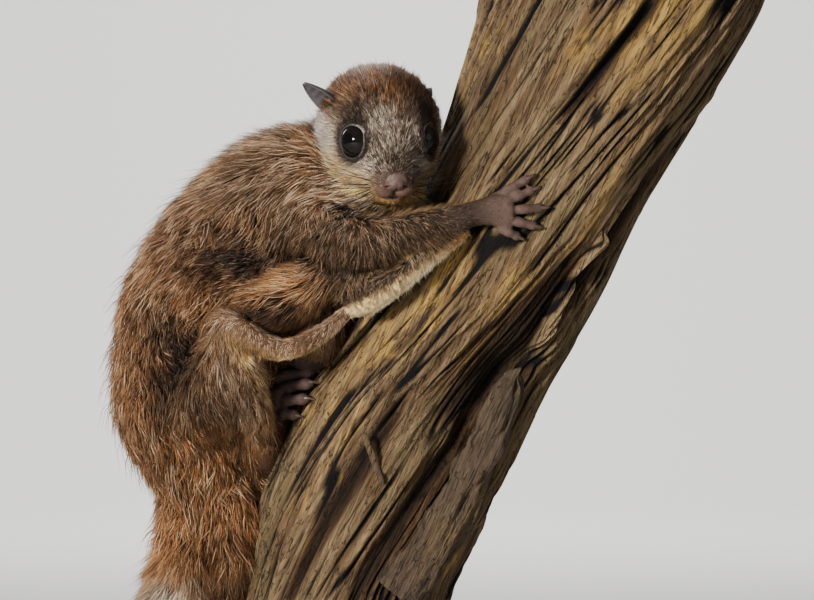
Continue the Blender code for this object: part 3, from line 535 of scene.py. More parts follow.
# Bones: every line of the body, with its coat. Rows of a coat: share of the line, depth, hair length, hair width,
# palette, and lay as weight along the line and a direction that is added to it
COATS = {
    "spine": [
        (0.00, 5.0, 11.0, 0.9, "grizzled", 1.0, (0, 0, 0)),
        (0.10, 6.0, 14.0, 1.0, "grizzled", 1.0, (0, 0, 0)),
        (0.17, 7.0, 17.0, 1.1, "saddle", 1.0, (0, 0, 0)),
        (0.27, 7.5, 18.0, 1.1, "rufous", 1.0, (0, 0, 0)),
        (0.36, 7.5, 18.0, 1.1, "rufous", 1.0, (0, 0, 0)),
        (0.42, 9.0, 16.0, 1.1, "russet", 1.0, (0, 0, 0)),
        (0.48, 9.5, 16.0, 1.1, "russet", 1.0, (0, 0, 0)),
        (0.54, 11.0, 20.0, 1.2, "tail", 1.0, (0, 0, 0)),
        (0.60, 12.0, 28.0, 1.3, "tail_pale", 1.0, (0, 0, 0)),
        (0.70, 12.5, 32.0, 1.4, "tail", 1.0, (0, 0, 0)),
        (0.84, 10.0, 34.0, 1.4, "tail", 1.0, (0, 0, 0)),
        (0.94, 5.5, 30.0, 1.3, "tail", 1.0, (0, 0, 0)),
        (1.00, 1.4, 20.0, 1.2, "tail", 1.0, (0, 0, 0)),
    ],
    "arm": [
        (0.00, 6.5, 14.0, 1.0, "grizzled", 0.4, (-0.3, 0, -0.9)),
        (0.30, 5.5, 13.0, 1.0, "sable", 0.3, (-0.25, 0, -0.9)),
        (0.55, 4.0, 10.0, 0.9, "sable", 0.3, (-0.1, 0, -0.9)),
        (0.80, 2.4, 6.5, 0.7, "sable", 0.6, (0, 0, -0.7)),
        (0.92, 1.3, 4.0, 0.5, "wrist", 1.0, (0, 0, -0.4)),
        (1.00, 0.5, 2.6, 0.4, "wrist", 1.0, (0, 0, -0.2)),
    ],
    "thigh": [
        (0.00, 7.0, 15.0, 1.1, "rufous", -0.6, (0, 0, -0.8)),
        (0.50, 6.0, 14.0, 1.0, "rufous", -0.6, (0, 0, -0.8)),
        (0.85, 3.5, 10.0, 0.9, "rufous", -0.4, (0, 0, -0.9)),
        (1.00, 2.0, 8.0, 0.8, "grizzled", -0.2, (0, 0, -1.0)),
    ],
    "shank": [
        (0.00, 2.4, 7.0, 0.8, "grizzled", 1.0, (0, 0, -0.2)),
        (0.40, 3.0, 7.0, 0.8, "grizzled", 1.0, (0, 0, -0.2)),
        (0.65, 3.0, 8.0, 0.8, "rufous", 1.0, (0, 0, -0.2)),
        (0.85, 2.0, 6.0, 0.7, "sable", 1.0, (0, 0, 0)),
        (1.00, 0.8, 3.0, 0.5, "wrist", 1.0, (0, 0, 0)),
    ],
    "flank": [
        (0.00, 3.0, 10.0, 1.0, "sable", 0.8, (0, 0, -0.5)),
        (0.30, 5.0, 14.0, 1.0, "flank", 0.9, (0, 0, -0.4)),
        (1.00, 5.0, 15.0, 1.1, "flank", 1.0, (0, 0, -0.2)),
    ],
    "front": [
        (0.00, 0.9, 2.5, 0.40, "sable", -0.3, (0.2, 0, -1.0)),
        (0.25, 2.0, 3.2, 0.42, "edge", -0.3, (0.2, 0, -1.0)),
        (0.50, 2.4, 3.8, 0.42, "cream", -0.3, (0.2, 0, -1.0)),
        (0.80, 1.0, 3.8, 0.42, "cream", -0.3, (0.2, 0, -1.0)),
        (1.00, 0.5, 3.8, 0.42, "cream", -0.3, (0.2, 0, -1.0)),
    ],
    "rear": [
        (0.00, 1.1, 3.2, 0.45, "roll", 0.5, (0.3, 0, -0.9)),
        (0.50, 1.4, 3.6, 0.5, "roll", 0.5, (0.3, 0, -0.9)),
        (1.00, 1.9, 5.0, 0.55, "roll", 0.5, (0.2, 0, -0.9)),
    ],
    "palm": [
        (0.00, 0.4, 3.2, 0.34, "wrist", 1.0, (0, 0, 0)),
        (1.00, 0.3, 2.2, 0.28, "wrist", 1.0, (0, 0, 0)),
    ],
    "sole": [
        (0.00, 0.3, 2.0, 0.35, "wrist", 1.0, (0, 0, 0)),
        (1.00, 0.2, 1.4, 0.3, "wrist", 1.0, (0, 0, 0)),
    ],
    "head": [
        (0.00, 4.6, 8.0, 0.8, "crown", -1.0, (0, 0, 0)),
        (0.35, 3.6, 7.0, 0.7, "crown", -1.0, (0, 0, 0)),
        (0.60, 2.8, 4.5, 0.5, "brow", -1.0, (0, 0, 0)),
        (0.80, 1.6, 3.0, 0.4, "brow", -1.0, (0, 0, 0)),
        (0.92, 0.9, 1.6, 0.3, "bridge", -1.0, (0, 0, 0)),
        (1.00, 0.3, 1.0, 0.25, "muzzle", -1.0, (0, 0, 0)),
    ],
}


def palette(name):
    root, middle, tip, pale, share = HAIR[name]
    return np.array([*root, *middle, *tip, *pale, share])


class Bone:
    """A line of the body with its coat's tables."""

    def __init__(self, kind, line, side=0):
        self.kind, self.line, self.side = kind, line, side
        rows = COATS[kind]
        self.shares = np.array([row[0] for row in rows])
        self.sizes = np.array([row[1:4] for row in rows])
        self.paints = np.array([palette(row[4]) for row in rows])
        self.along = np.array([row[5] for row in rows])
        self.lean = np.array([row[6] for row in rows], float)

    def value(self, table, share):
        return np.array([np.interp(share, self.shares, c) for c in np.atleast_2d(table.T)]).T

    def inset(self, stops):
        return np.interp(stops / self.line.length, self.shares, self.sizes[:, 0])

    def shell(self, sides, rings, start=0.0, end=1.0, scale=1.0):
        stops = np.linspace(start, end, rings) * self.line.length
        return loft(self.kind, self.line.rings(stops, sides, self.inset), scale)


def head_line():
    rows = [(*to_world([0.0, y, z]), wide, high) for y, z, wide, high in HEAD]
    return Line(rows, AXES[:, 0])


def make_bones():
    bones = [Bone("spine", Line(SPINE, samples=260)), Bone("head", head_line())]
    for side in (-1, 1):
        bones.append(Bone("arm", Line(arm_table(side), (0, 0, 1)), side))
        bones.append(Bone("thigh", Line(mirrored(THIGH, side), (1, 0, 0)), side))
        bones.append(Bone("shank", Line(mirrored(SHANK, side), (1, 0, 0)), side))
        bones.append(Bone("flank", Line(mirrored(MEMBRANE_FLANK, side)), side))
        bones.append(Bone("front", Line(mirrored(MEMBRANE_FRONT, side)), side))
        bones.append(Bone("rear", Line(mirrored(MEMBRANE_REAR, side)), side))
        rise = LEFT_HAND_RISE if side > 0 else 0.0
        palm = [(x, y, z + rise, a, b) for x, y, z, a, b in mirrored(PALM, side)]
        bones.append(Bone("palm", Line(palm, (0, 0, 1)), side))
        bones.append(Bone("sole", Line(mirrored(SOLE, side)), side))
    return bones


BONES = make_bones()


# Skin
def digit_line(root, tip, bow, radius, outward):
    """A digit from root to tip, bowed outward, with a knuckle and a rounded pad at the end."""
    outward = unit(outward)
    chord = tip - root
    reach = unit(chord)
    rows = []
    for share, lift, size in (
        (0.0, 0.0, 1.12), (0.22, 0.62, 0.98), (0.48, 1.0, 1.10), (0.72, 0.66, 0.88), (0.90, 0.26, 1.04), (1.0, 0.0, 0.92),
    ):
        rows.append((*(root + chord * share + outward * bow * lift), radius * size, radius * size * 0.95))
    rows.append((*(tip + reach * radius * 0.75 - outward * 0.2), radius * 0.42, radius * 0.40))
    return Line(rows, np.cross(chord, outward))


def claw_line(root, tip, bow, radius, outward, towards):
    outward = unit(outward)
    middle = (root + tip) / 2 + outward * bow
    reach = unit(tip - middle)
    start = tip + outward * radius * 0.35 - reach * 0.6
    bend = start + reach * CLAW_LENGTH * 0.60 + outward * 0.55
    point = start + reach * CLAW_LENGTH * 0.95 + np.array(towards) * CLAW_LENGTH * 0.42
    rows = [
        (*start, CLAW_RADIUS * 0.95, CLAW_RADIUS * 1.35),
        (*bend, CLAW_RADIUS * 0.72, CLAW_RADIUS * 1.05),
        (*point, 0.16, 0.2),
    ]
    return Line(rows, np.cross(tip - root, outward))


def trunk_section(z):
    rows = np.array(TRUNK)
    place = np.interp(z, rows[:, 0], np.arange(len(rows)))
    return smooth_through(rows, np.atleast_1d(place))[:, 1:]


def trunk_face(x, z, lift, side):
    middle, wide, deep = trunk_section(z)[0]
    share = max(1.0 - ((x - middle) / wide) ** 2, 0.0)
    return np.array([x, side * (deep * math.sqrt(share) + lift), z])


def digits(side):
    """Each digit of one side's hand and foot as root, tip, bow, radius, outward direction and claw direction."""
    rise = LEFT_HAND_RISE if side > 0 else 0.0
    found = []
    for x, z, length, slope in FINGERS:
        turn = math.radians(slope)
        far_x, far_z = x + length * math.cos(turn), z + rise + length * math.sin(turn)
        root = trunk_face(x, z + rise, KNUCKLE_LIFT, side)
        tip = trunk_face(far_x, far_z, FINGER_RADIUS * 0.85 + 0.9, side)
        found.append((root, tip, FINGER_BOW, FINGER_RADIUS, (0, side, 0), (0, -side, 0)))
    for place, (turn, z, radius) in zip(TOE_ROOTS, TOES):
        middle, wide, deep = trunk_section(z)[0]
        lift = radius * 0.85 + 1.2
        turn = math.radians(turn)
        tip = np.array([middle - (wide + lift) * math.cos(turn), side * (deep + lift) * math.sin(turn), z])
        root = np.array([place[0], -place[1] * side, place[2]])
        found.append((root, tip, 2.0, radius, (-1.0, 0.8 * side, 0.3), (0.8, -0.3 * side, -0.4)))
    return found


def coarse_body():
    """Trunk of the body, limbs and membranes, as one closed shell."""
    shells = []
    for bone in BONES:
        if bone.kind == "spine":
            shells.append(bone.shell(40, 120, 0.0, 0.955))
        elif bone.kind == "arm":
            shells.append(bone.shell(24, 40, 0.0, 0.97))
        elif bone.kind in ("thigh", "shank", "flank", "rear", "front"):
            shells.append(bone.shell(22, 30))
    shells.append(ball("throat", (-17.0, -27.0, 484.0), (18.0, 17.0, 19.0)))
    shells.append(ball("chin", (-1.0, -36.0, 473.0), (10.0, 9.0, 8.0)))
    shells.append(ball("chest", (-36.0, -17.0, 462.0), (22.0, 20.0, 22.0)))
    shells.append(ball("belly", BELLY[0], BELLY[1]))
    shells.append(ball("groin", GROIN[0], GROIN[1]))
    shells.append(ball("tail_root", (-92.0, -4.0, 306.0), (14.0, 14.0, 41.0)))
    for side in (-1, 1):
        shells.append(ball("web", (WEB[0][0], -WEB[0][1] * side, WEB[0][2]), WEB[1]))
    body = joined(shells, "body_shell")
    modified(body, "REMESH", mode="VOXEL", voxel_size=1.5)
    modified(body, "SMOOTH", factor=0.5, iterations=7)
    return modified(body, "DECIMATE", ratio=0.5)


def fine_parts():
    """Head with lids, nose and jaw, hands and feet, at a finer grain."""
    shells = [bone.shell(48, 60) for bone in BONES if bone.kind == "head"]
    jaw = [(*to_world([0.0, y, z]), wide, high) for y, z, wide, high in JAW]
    stops = lambda s: np.full(len(s), 0.9)
    line = Line(jaw, AXES[:, 0])
    shells.append(loft("jaw", line.rings(np.linspace(0, line.length, 20), 28, stops)))
    shells.append(ball("nose", to_world((0.0, 38.0, -11.3)), (5.3, 5.3, 4.9), AXES))
    for side in (1, -1):
        pad = to_world(sided((4.4, 34.4, -15.8), side))
        shells.append(ball("pad", pad, (6.0, 6.2, 5.4), AXES))
        turn = AXES @ eye_frame(side)
        shells.append(ball("orbit", to_world(sided(EYE_AT, side)), (12.6, 12.6, 5.6), turn))
        shells.append(lid_shell(side))
    head = joined(shells, "head_shell")
    modified(head, "REMESH", mode="VOXEL", voxel_size=0.6)
    modified(head, "SMOOTH", factor=0.5, iterations=5)
    shells = []
    for side in (-1, 1):
        for bone in BONES:
            if bone.side == side and bone.kind in ("palm", "sole"):
                shells.append(bone.shell(22, 24))
            if bone.side == side and bone.kind == "arm":
                shells.append(bone.shell(22, 16, 0.82, 1.0))
            if bone.side == side and bone.kind == "shank":
                shells.append(bone.shell(22, 16, 0.6, 1.0))
        for root, tip, bow, radius, outward, _ in digits(side):
            line = digit_line(root, tip, bow, radius * DIGIT_SHARE, outward)
            shells.append(loft("digit", line.rings(np.linspace(0, line.length, 18), 14, lambda s: s * 0)))
    limbs = joined(shells, "limb_shell")
    modified(limbs, "REMESH", mode="VOXEL", voxel_size=0.62)
    modified(limbs, "SMOOTH", factor=0.5, iterations=3)
    modified(limbs, "DECIMATE", ratio=0.6)
    return head, limbs


def lid_radius(turn):
    """Half width of the eye's opening round its axis. Angle 0 points to the nose, a quarter turn up."""
    inner = np.exp(-(((turn + 0.75 + np.pi) % (2 * np.pi) - np.pi) / 0.34) ** 2)
    outer = np.exp(-(((turn - 2.75 + np.pi) % (2 * np.pi) - np.pi) / 0.40) ** 2)
    return LID_RADIUS + 1.0 * inner + 0.35 * outer - 0.15 * np.cos(2 * turn)


def lid_shell(side):
    """Both lids as one rolled rim, which lies on the eyeball."""
    turn = 2 * np.pi * np.arange(56) / 56
    axes = eye_frame(side)
    wide = lid_radius(turn)
    roll = 2 * np.pi * np.arange(12) / 12
    rings = []
    for a, r in zip(turn, wide):
        r = min(r, EYE_RADIUS - 0.05)
        out = math.sqrt(EYE_RADIUS**2 - r**2)
        away = np.array([math.cos(a), math.sin(a), 0.0])
        normal = np.array([*(away[:2] * r), out]) / EYE_RADIUS
        slope = np.array([*(away[:2] * out), -r]) / EYE_RADIUS
        centre = normal * (EYE_RADIUS + 0.35) + slope * 0.9
        rings.append([centre + normal * 0.75 * math.cos(t) + slope * 1.15 * math.sin(t) for t in roll])
    points = (np.array(rings).reshape(-1, 3) @ axes.T) + sided(EYE_AT, side)
    k, m = np.meshgrid(np.arange(56), np.arange(12), indexing="ij")
    a, b = k * 12 + m, k * 12 + (m + 1) % 12
    c, d = ((k + 1) % 56) * 12 + (m + 1) % 12, ((k + 1) % 56) * 12 + m
    obj = mesh_from("lid", to_world(points), np.stack([a, b, c, d], -1).reshape(-1, 4), 1.0)
    turn_out(obj)
    return obj


def push(points, where, reach, shift, power=2.0):
    """Moves points near a place, in the head's frame, by a shift that fades with distance."""
    gap = np.linalg.norm((points - np.array(where)) / np.array(reach), axis=1)
    return points + np.exp(-(gap**power))[:, None] * np.asarray(shift, float)


def sculpt_head(head):
    """Nostrils, lips, mouth line and the folds of the muzzle, on a finer grain there."""
    made = bmesh.new()
    made.from_mesh(head.data)
    near = Vector(to_world((0.0, 37.0, -17.0)))
    edges = [e for e in made.edges if ((e.verts[0].co + e.verts[1].co) / 2 - near).length < 9.5]
    bmesh.ops.subdivide_edges(made, edges=edges, cuts=1, use_grid_fill=True)
    made.to_mesh(head.data)
    made.free()
    local = to_head(points_of(head))
    normals = normals_of(head) @ AXES
    x, y, z = local.T
    front = smoothstep(28.0, 33.0, y)

    def groove(distance, width, depth, extent):
        return -(depth * np.exp(-((distance / width) ** 2)) * extent)[:, None] * normals

    moved = local.copy()
    mouth = -20.0 - 0.018 * np.clip(np.abs(x) - 1.0, 0, None) ** 2 - 0.9 * np.exp(-((x / 2.2) ** 2))
    moved += groove(z - mouth, 0.55, 1.5, smoothstep(19.0, 24.0, y) * (1 - smoothstep(-1.0, 1.0, z + 17.5)))
    cleft = smoothstep(33.0, 37.0, y) * smoothstep(-21.0, -20.0, z) * (1 - smoothstep(-15.5, -13.5, z))
    moved += groove(x, 0.5, 0.8, cleft)
    moved += groove(x, 1.0, 0.30, smoothstep(38.0, 41.0, y) * smoothstep(-15.5, -14, z) * (1 - smoothstep(-12, -10, z)))
    fold = np.hypot(x / 6.3, (z + 10.9) / 5.6)
    moved += groove((fold - 1) * 5.8, 0.7, 0.45, front * (1 - smoothstep(-9.0, -6.5, z)) * smoothstep(33, 36, y))
    for side in (1, -1):
        away = x * side
        hole = np.hypot((away - 4.0) / 1.10, (z + 13.2 + 0.40 * (away - 4.0)) / 0.60)
        moved -= np.outer(np.exp(-(hole**2)) * smoothstep(36.5, 38.5, y) * 1.8, (0.0, 1.0, 0.3))
        rim = np.exp(-(((hole - 1.75) / 0.5) ** 2)) * smoothstep(37.5, 39.5, y) * (away > 1.5)
        moved += (0.25 * rim)[:, None] * normals
        moved = push(moved, (side * 3.6, 38.6, -17.8), (2.6, 2.4, 1.5), (0, 0.5, -0.1))
        moved = push(moved, (side * 14.0, 26.0, -9.5), (5.0, 6.0, 5.0), (side * 0.6, 0.3, 0.0))
        moved = push(moved, (side * 18.0, 17.0, -17.0), (11.0, 12.0, 10.0), (side * 4.2, 1.2, -1.2))
    moved = push(moved, (0.0, 36.5, -22.0), (5.0, 2.5, 1.1), (0, 0.4, 0.25))
    set_points(head, to_world(moved))


def make_skin():
    body, (head, limbs) = coarse_body(), fine_parts()
    for side in (1, -1):
        socket = ball("socket", to_world(sided(EYE_AT, side)), [EYE_RADIUS + 0.05] * 3, segments=48, rings=32)
        boolean(head, socket, "DIFFERENCE")
    sculpt_head(head)
    skin = boolean(body, joined([head, limbs], "fine_shell"), "UNION")
    modified(skin, "TRIANGULATE")
    skin.name = skin.data.name = "skin"
    return skin


skin = make_skin()
print("skin triangles", len(skin.data.polygons))


# Coat: where each point of the skin lies along each bone
def along_bones(points):
    """For each bone, the points' shares along it, their gaps to its skin and its direction there."""
    found = []
    for bone in BONES:
        line = bone.line
        rows, arc, tangent = line.rows[::3], line.arc[::3], line.tangent[::3]
        radius = np.maximum(rows[:, 3:].mean(1) - bone.inset(arc), 0.5)
        near = np.empty(len(points), int)
        gap = np.empty(len(points))
        for start in range(0, len(points), 20000):
            part = points[start:start + 20000]
            gaps = np.sqrt(((part[:, None] - rows[None, :, :3]) ** 2).sum(-1)) - radius
            near[start:start + 20000] = gaps.argmin(1)
            gap[start:start + 20000] = gaps.min(1)
        found.append((arc[near] / line.length, np.maximum(gap, 0.0), tangent[near]))
    return found


# Strokes of colour and lie on the head, in its own frame: centre, half sizes, palette, strength, hair length,
# direction. Each lies on both sides, and a later one covers an earlier one
HEAD_STROKES = [
    ((0, 2, 30), (38, 20, 19), "crown", 1.0, None, None),
    ((22, 0, 24), (10, 12, 8), "crown", 0.9, 8.0, (0.5, -0.6, 0.6)),
    ((-5, 22, 18), (8, 11, 13), "crown", 0.55, None, None, False),
    ((0, 27, 9), (9, 9, 12), "brow", 0.8, None, None),
    ((27, 8, 0), (8, 11, 13), "temple", 0.8, 6.5, None),
    ((14, 31, -5), (5, 6, 5), "temple", 0.30, None, None),
    ((21, 14, -14), (14, 14, 9), "cheek", 1.0, 7.5, (0.6, -1.0, -0.25)),
    ((15, 26, -13), (7, 8, 5), "cheek", 0.9, 4.5, (0.9, -1.0, -0.1)),
    ((15, 18, -23), (17, 17, 10), "buff", 1.0, 8.0, (0.5, -1.0, -0.6)),
    ((0, 26, -27), (12, 16, 7), "buff", 1.0, 6.0, (0.0, -1.0, -0.5)),
    ((13, 29, -19), (7, 8, 6), "buff", 0.85, 4.5, (0.7, -1.0, -0.4)),
    ((18, 20, 15), (9, 9, 9), "ring", 0.85, 2.8, None),
    ((9, 30, 3), (4.0, 6, 6), "ring", 0.70, 2.4, None),
    ((0, 39, -14), (10, 7, 8), "muzzle", 1.0, 1.5, None),
    ((0, 34, -4), (6.5, 8, 6.5), "bridge", 1.0, 2.2, None),
    # Dark fur with painted shade in the hollow beside each ear's root
    ((22, 4, 16), (5, 6, 6), "under", 0.95, 3.5, None),
]
# The same on the body, in the solids' frame, for the side at -Y or both. Centre, half sizes, palette, strength,
# hair length, direction, whether on both sides
BODY_STROKES = [
    ((-48, -20, 478), (22, 24, 12), "grizzled", 0.8, 12.0, None, True),
    ((-45, -34, 455), (26, 20, 14), "grizzled", 0.8, 12.0, (-0.5, 0, -0.9), True),
    ((-20, -45, 440), (18, 14, 12), "sable", 0.95, 11.0, (-0.2, 0, -1.0), True),
    ((-60, -44, 430), (22, 16, 11), "flank", 0.9, 15.0, (-1.0, 0, -0.15), True),
    ((-80, -40, 443), (20, 18, 12), "under", 1.0, 9.0, (-1.0, 0, -0.3), True),
    ((-60, -44, 442), (11, 14, 5), "under", 0.9, 9.0, (-1.0, 0, -0.1), True),
    ((-110, -38, 398), (20, 24, 24), "under", 1.0, 9.0, (0.5, 0, -0.9), True),
    ((-98, -44, 372), (18, 22, 13), "sable", 1.0, 12.0, (0.5, 0, -0.9), True),
    ((-120, -34, 418), (10, 18, 9), "sable", 0.9, 11.0, (0.2, 0, -1.0), True),
    ((-89, -48, 393), (9, 16, 12), "roll", 0.9, 9.0, (0.3, 0, -1.0), True),
    # The next two are painted shade: near-black underfur over the lower flank and the fold of the membrane, and over
    # the belly by the trunk, where the gap between body, membrane and trunk lies in shadow
    ((-64, -46, 417), (20, 14, 7), "under", 1.0, 8.0, (-0.8, 0, -0.5), True),
    ((-46, -20, 418), (24, 28, 30), "under", 0.9, 9.0, None, True),
    ((-84, -52, 402), (3.5, 8, 4.5), "buff", 1.0, 4.0, (0.6, 0, -0.8), True),
    ((-78, -50, 394), (3.0, 8, 4.5), "buff", 1.0, 4.0, (0.6, 0, -0.8), True),
    ((-72, -46, 386), (3.0, 8, 4.5), "buff", 0.9, 4.0, (0.6, 0, -0.8), True),
    ((-67, -42, 378), (3.0, 8, 4.0), "buff", 0.8, 4.0, (0.6, 0, -0.8), True),
    ((-76, -24, 352), (17, 22, 19), "rufous", 1.0, 13.0, (0.1, 0, -1.0), True),
    ((-92, -38, 336), (8, 16, 9), "under", 0.95, 9.0, (0.1, 0, -1.0), False),
    ((-101, -36, 342), (9, 14, 11), "edge", 0.60, 15.0, (0.5, 0, -0.8), False),
    ((-84, -38, 374), (13, 18, 20), "roll", 0.6, 9.0, (0.2, 0, -1.0), True),
    ((-96, -40, 358), (20, 24, 12), "russet", 0.8, 12.0, (0.3, 0, -1.0), True),
    ((-102, -20, 300), (24, 30, 14), "tail", 0.9, None, None, False),
    # Painted light on the tail's base: a pale band as a painted highlight, and darker fur on its side by the trunk as
    # painted shadow
    ((-118, -24, 281), (20, 20, 9), "temple", 0.75, 20.0, None, False),
    ((-86, -14, 284), (16, 24, 16), "sable", 0.90, 18.0, None, False),
    ((-118, 0, 478), (26, 44, 22), "saddle", 0.8, None, None, False),
    ((-140, 0, 400), (12, 40, 50), "saddle", 0.4, None, None, False),
]


# Places where the long coat parts over the dark underfur, the last one over the painted shade in the gap under the
# flank: centre and half sizes. No hair from outside ends there
PARTINGS = [((-84, -42, 438), (13, 20, 8)), ((-112, -40, 396), (14, 24, 16)), ((-66, -46, 417), (15, 14, 5))]


def strokes_on(field, points, strokes, axes=None):
    """Paints strokes over the rows of a field: 3 sizes, 13 colour numbers and 3 of direction."""
    for centre, half, name, strength, length, direction, *both in strokes:
        for side in (1, -1):
            if side < 0 and ((both and not both[0]) or (axes is not None and centre[0] == 0)):
                continue
            place, way = np.array(centre, float), None if direction is None else unit(direction)
            flip = 0 if axes is not None else 1
            if side < 0:
                place[flip] *= -1
                way = None if way is None else way * np.where(np.arange(3) == flip, -1, 1)
            gap = np.linalg.norm((points - place) / np.array(half), axis=1)
            gap = gap * (1 + 0.28 * noise(points / (0.45 * min(half) + 1.0), 17))
            weight = strength * np.exp(-(gap**3))
            weight = weight[:, None]
            field[:, 3:16] += (palette(name) - field[:, 3:16]) * weight
            if length is not None:
                field[:, 1:2] += (length - field[:, 1:2]) * weight
                field[:, :1] += (np.minimum(0.42 * length, field[:, :1]) - field[:, :1]) * weight
            if way is not None:
                way = axes @ way if axes is not None else way
                field[:, 16:19] += (way - field[:, 16:19]) * weight


def coat_fields(points, normals):
    """For each point of the skin its coat, its bare share and its dominant bone."""
    places = along_bones(points)
    total = 0.0
    field = np.zeros((len(points), 19))
    for bone, (share, gap, tangent) in zip(BONES, places):
        weight = np.exp(-((gap / 3.0) ** 1.5))
        flow = bone.value(bone.along[:, None], share) * tangent
        lean = bone.value(bone.lean, share)
        part = np.concatenate([bone.value(bone.sizes, share), bone.value(bone.paints, share), flow + lean], 1)
        field += part * weight[:, None]
        total = total + weight
    field /= np.maximum(total, 1e-12)[:, None]
    owner = np.argmin([gap for _, gap, _ in places], axis=0)
    share = np.choose(owner, [place[0] for place in places])
    kinds = np.array([bone.kind for bone in BONES])[owner]
    local = to_head(points)
    on_head = kinds == "head"

    for number, bone in enumerate(BONES):
        if bone.kind not in ("rear", "front"):
            continue
        mine = owner == number
        low = (np.interp(share[mine], bone.line.arc / bone.line.length, bone.line.rows[:, 2]) - points[mine, 2])
        low = low / bone.line.rows[:, 4].max()
        under = smoothstep(-0.15, 0.20, low) if bone.kind == "front" else smoothstep(0.05, 0.55, low)
        above = palette("sable" if bone.kind == "front" else "roll")
        below = palette("cream" if bone.kind == "front" else "edge")
        if bone.kind == "front":
            fade = smoothstep(0.10, 0.35, share[mine])
            below = palette("edge") + (below - palette("edge")) * fade[:, None]
        field[mine, 3:16] = above + (below - above) * under[:, None]
    strokes_on(field, points, BODY_STROKES)
    # Painted rim light: fur on the top of each forearm, where it faces up, takes the pale edge palette as a lit upper
    # edge.
    rim = np.isin(kinds, ("arm",)) * smoothstep(0.90, 0.985, normals[:, 2]) * smoothstep(0.55, 0.7, share)
    field[:, 3:16] += (palette("edge") - field[:, 3:16]) * (rim * 0.6)[:, None]
    part = field[on_head].copy()
    strokes_on(part, local[on_head], HEAD_STROKES, AXES)
    bare = np.zeros(len(points))
    ring, pale_rim = np.full(len(points), 99.0), np.zeros(len(points))
    for side in (1, -1):
        away = local - sided(EYE_AT, side)
        axes = eye_frame(side)
        flat = away @ axes
        turn = np.arctan2(flat[:, 1], flat[:, 0])
        reach = np.hypot(flat[:, 0], flat[:, 1]) - lid_radius(turn)
        reach = np.where((flat[:, 2] > 0) & (np.linalg.norm(away, axis=1) < 20), reach, 99.0)
        inner = np.clip(0.15 + 0.85 * np.cos(turn + 0.6), 0.04, 1.0)
        pale_rim = np.where(reach < ring, inner, pale_rim)
        ring = np.minimum(ring, reach)
    close = (1 - smoothstep(1.6, 3.8, ring))[on_head, None]
    part[:, 3:16] += (palette("ring") - part[:, 3:16]) * close * 0.95
    part[:, 1] = np.minimum(part[:, 1], 1.6 + 0.55 * np.clip(ring[on_head] - 1.5, 0, 20))
    for side in (1, -1):
        out = local[on_head] - sided(EYE_AT, side)
        out = unit(out) @ AXES.T
        near = (1 - smoothstep(3.0, 8.0, ring[on_head])) * (np.sign(local[on_head, 0]) == side)
        part[:, 16:19] += out * near[:, None] * 0.8
    field[on_head] = part
    bare = np.maximum(bare, 1 - smoothstep(0.5, 1.4, ring))
    nose = np.linalg.norm((local - NOSE_PLACE) / NOSE_SIZE, axis=1)
    bare = np.maximum(bare, (1 - smoothstep(0.72, 1.08, nose)) * on_head)
    muzzle = np.linalg.norm((np.abs(local) * (1, 1, 0) + local * (0, 0, 1) - (4.0, 37.0, -16.0)) / (5.5, 5.0, 4.5), axis=1)
    bare = np.maximum(bare, 0.40 * (1 - smoothstep(0.75, 1.25, muzzle)) * on_head)
    lips = np.abs(local[:, 2] + 20.6) + 99.0 * (local[:, 1] < 30.0) + 99.0 * (np.abs(local[:, 0]) > 6.5)
    bare = np.maximum(bare, (1 - smoothstep(0.6, 1.8, lips)) * on_head)
    hands = np.isin(kinds, ("palm", "sole"))
    bare = np.maximum(bare, hands * smoothstep(0.15, 0.9, share) * 0.80)
    flow = field[:, 16:19]
    flow = flow - normals * (flow * normals).sum(1)[:, None]
    return field, unit(flow), bare, ring, pale_rim, owner, share, local


def smoothed(values, edges, rounds, normals=None):
    """Averages values over the mesh's edges, and keeps directions in the surface if normals are given."""
    count = len(values)
    ends = np.concatenate([edges[:, 0], edges[:, 1]])
    others = np.concatenate([edges[:, 1], edges[:, 0]])
    valence = np.bincount(ends, minlength=count)[:, None] + 1.0
    for _ in range(rounds):
        near = np.stack([np.bincount(ends, values[others, c], minlength=count) for c in range(values.shape[1])], 1)
        values = (values + near) / valence
        if normals is not None:
            values = unit(values - normals * (values * normals).sum(1)[:, None])
    return values


def triangles_of(obj):
    corners = np.empty(len(obj.data.polygons) * 3, np.int32)
    obj.data.polygons.foreach_get("vertices", corners)
    return corners.reshape(-1, 3)


def edges_of(obj):
    ends = np.empty(len(obj.data.edges) * 2, np.int32)
    obj.data.edges.foreach_get("vertices", ends)
    return ends.reshape(-1, 2)


SKIN_POINTS, SKIN_NORMALS = points_of(skin), normals_of(skin)
SKIN_FACES = triangles_of(skin)
FIELD, FLOW, BARE, RING, RIM, OWNER, SHARE, LOCAL = coat_fields(SKIN_POINTS, SKIN_NORMALS)
FLOW = smoothed(FLOW, edges_of(skin), 6, SKIN_NORMALS)
FIELD[:, :3] = smoothed(FIELD[:, :3], edges_of(skin), 6)
SURFACE = BVHTree.FromPolygons(SKIN_POINTS.tolist(), SKIN_FACES.tolist())
KIND = np.array([bone.kind for bone in BONES])[OWNER]


# Materials
def material(name, colour=(0.5, 0.5, 0.5), rough=0.6, specular=0.5, metal=0.0, coat=0.0, sheen=0.0):
    """A new material with these constants, its node tree and its shader."""
    made = bpy.data.materials.new(name)
    made.use_nodes = True
    shader = made.node_tree.nodes["Principled BSDF"]
    shader.inputs["Base Color"].default_value = (*colour, 1.0)
    shader.inputs["Roughness"].default_value = rough
    shader.inputs["Specular IOR Level"].default_value = specular
    shader.inputs["Metallic"].default_value = metal
    shader.inputs["Coat Weight"].default_value = coat
    shader.inputs["Coat Roughness"].default_value = 0.03
    shader.inputs["Sheen Weight"].default_value = sheen
    return made, made.node_tree, shader


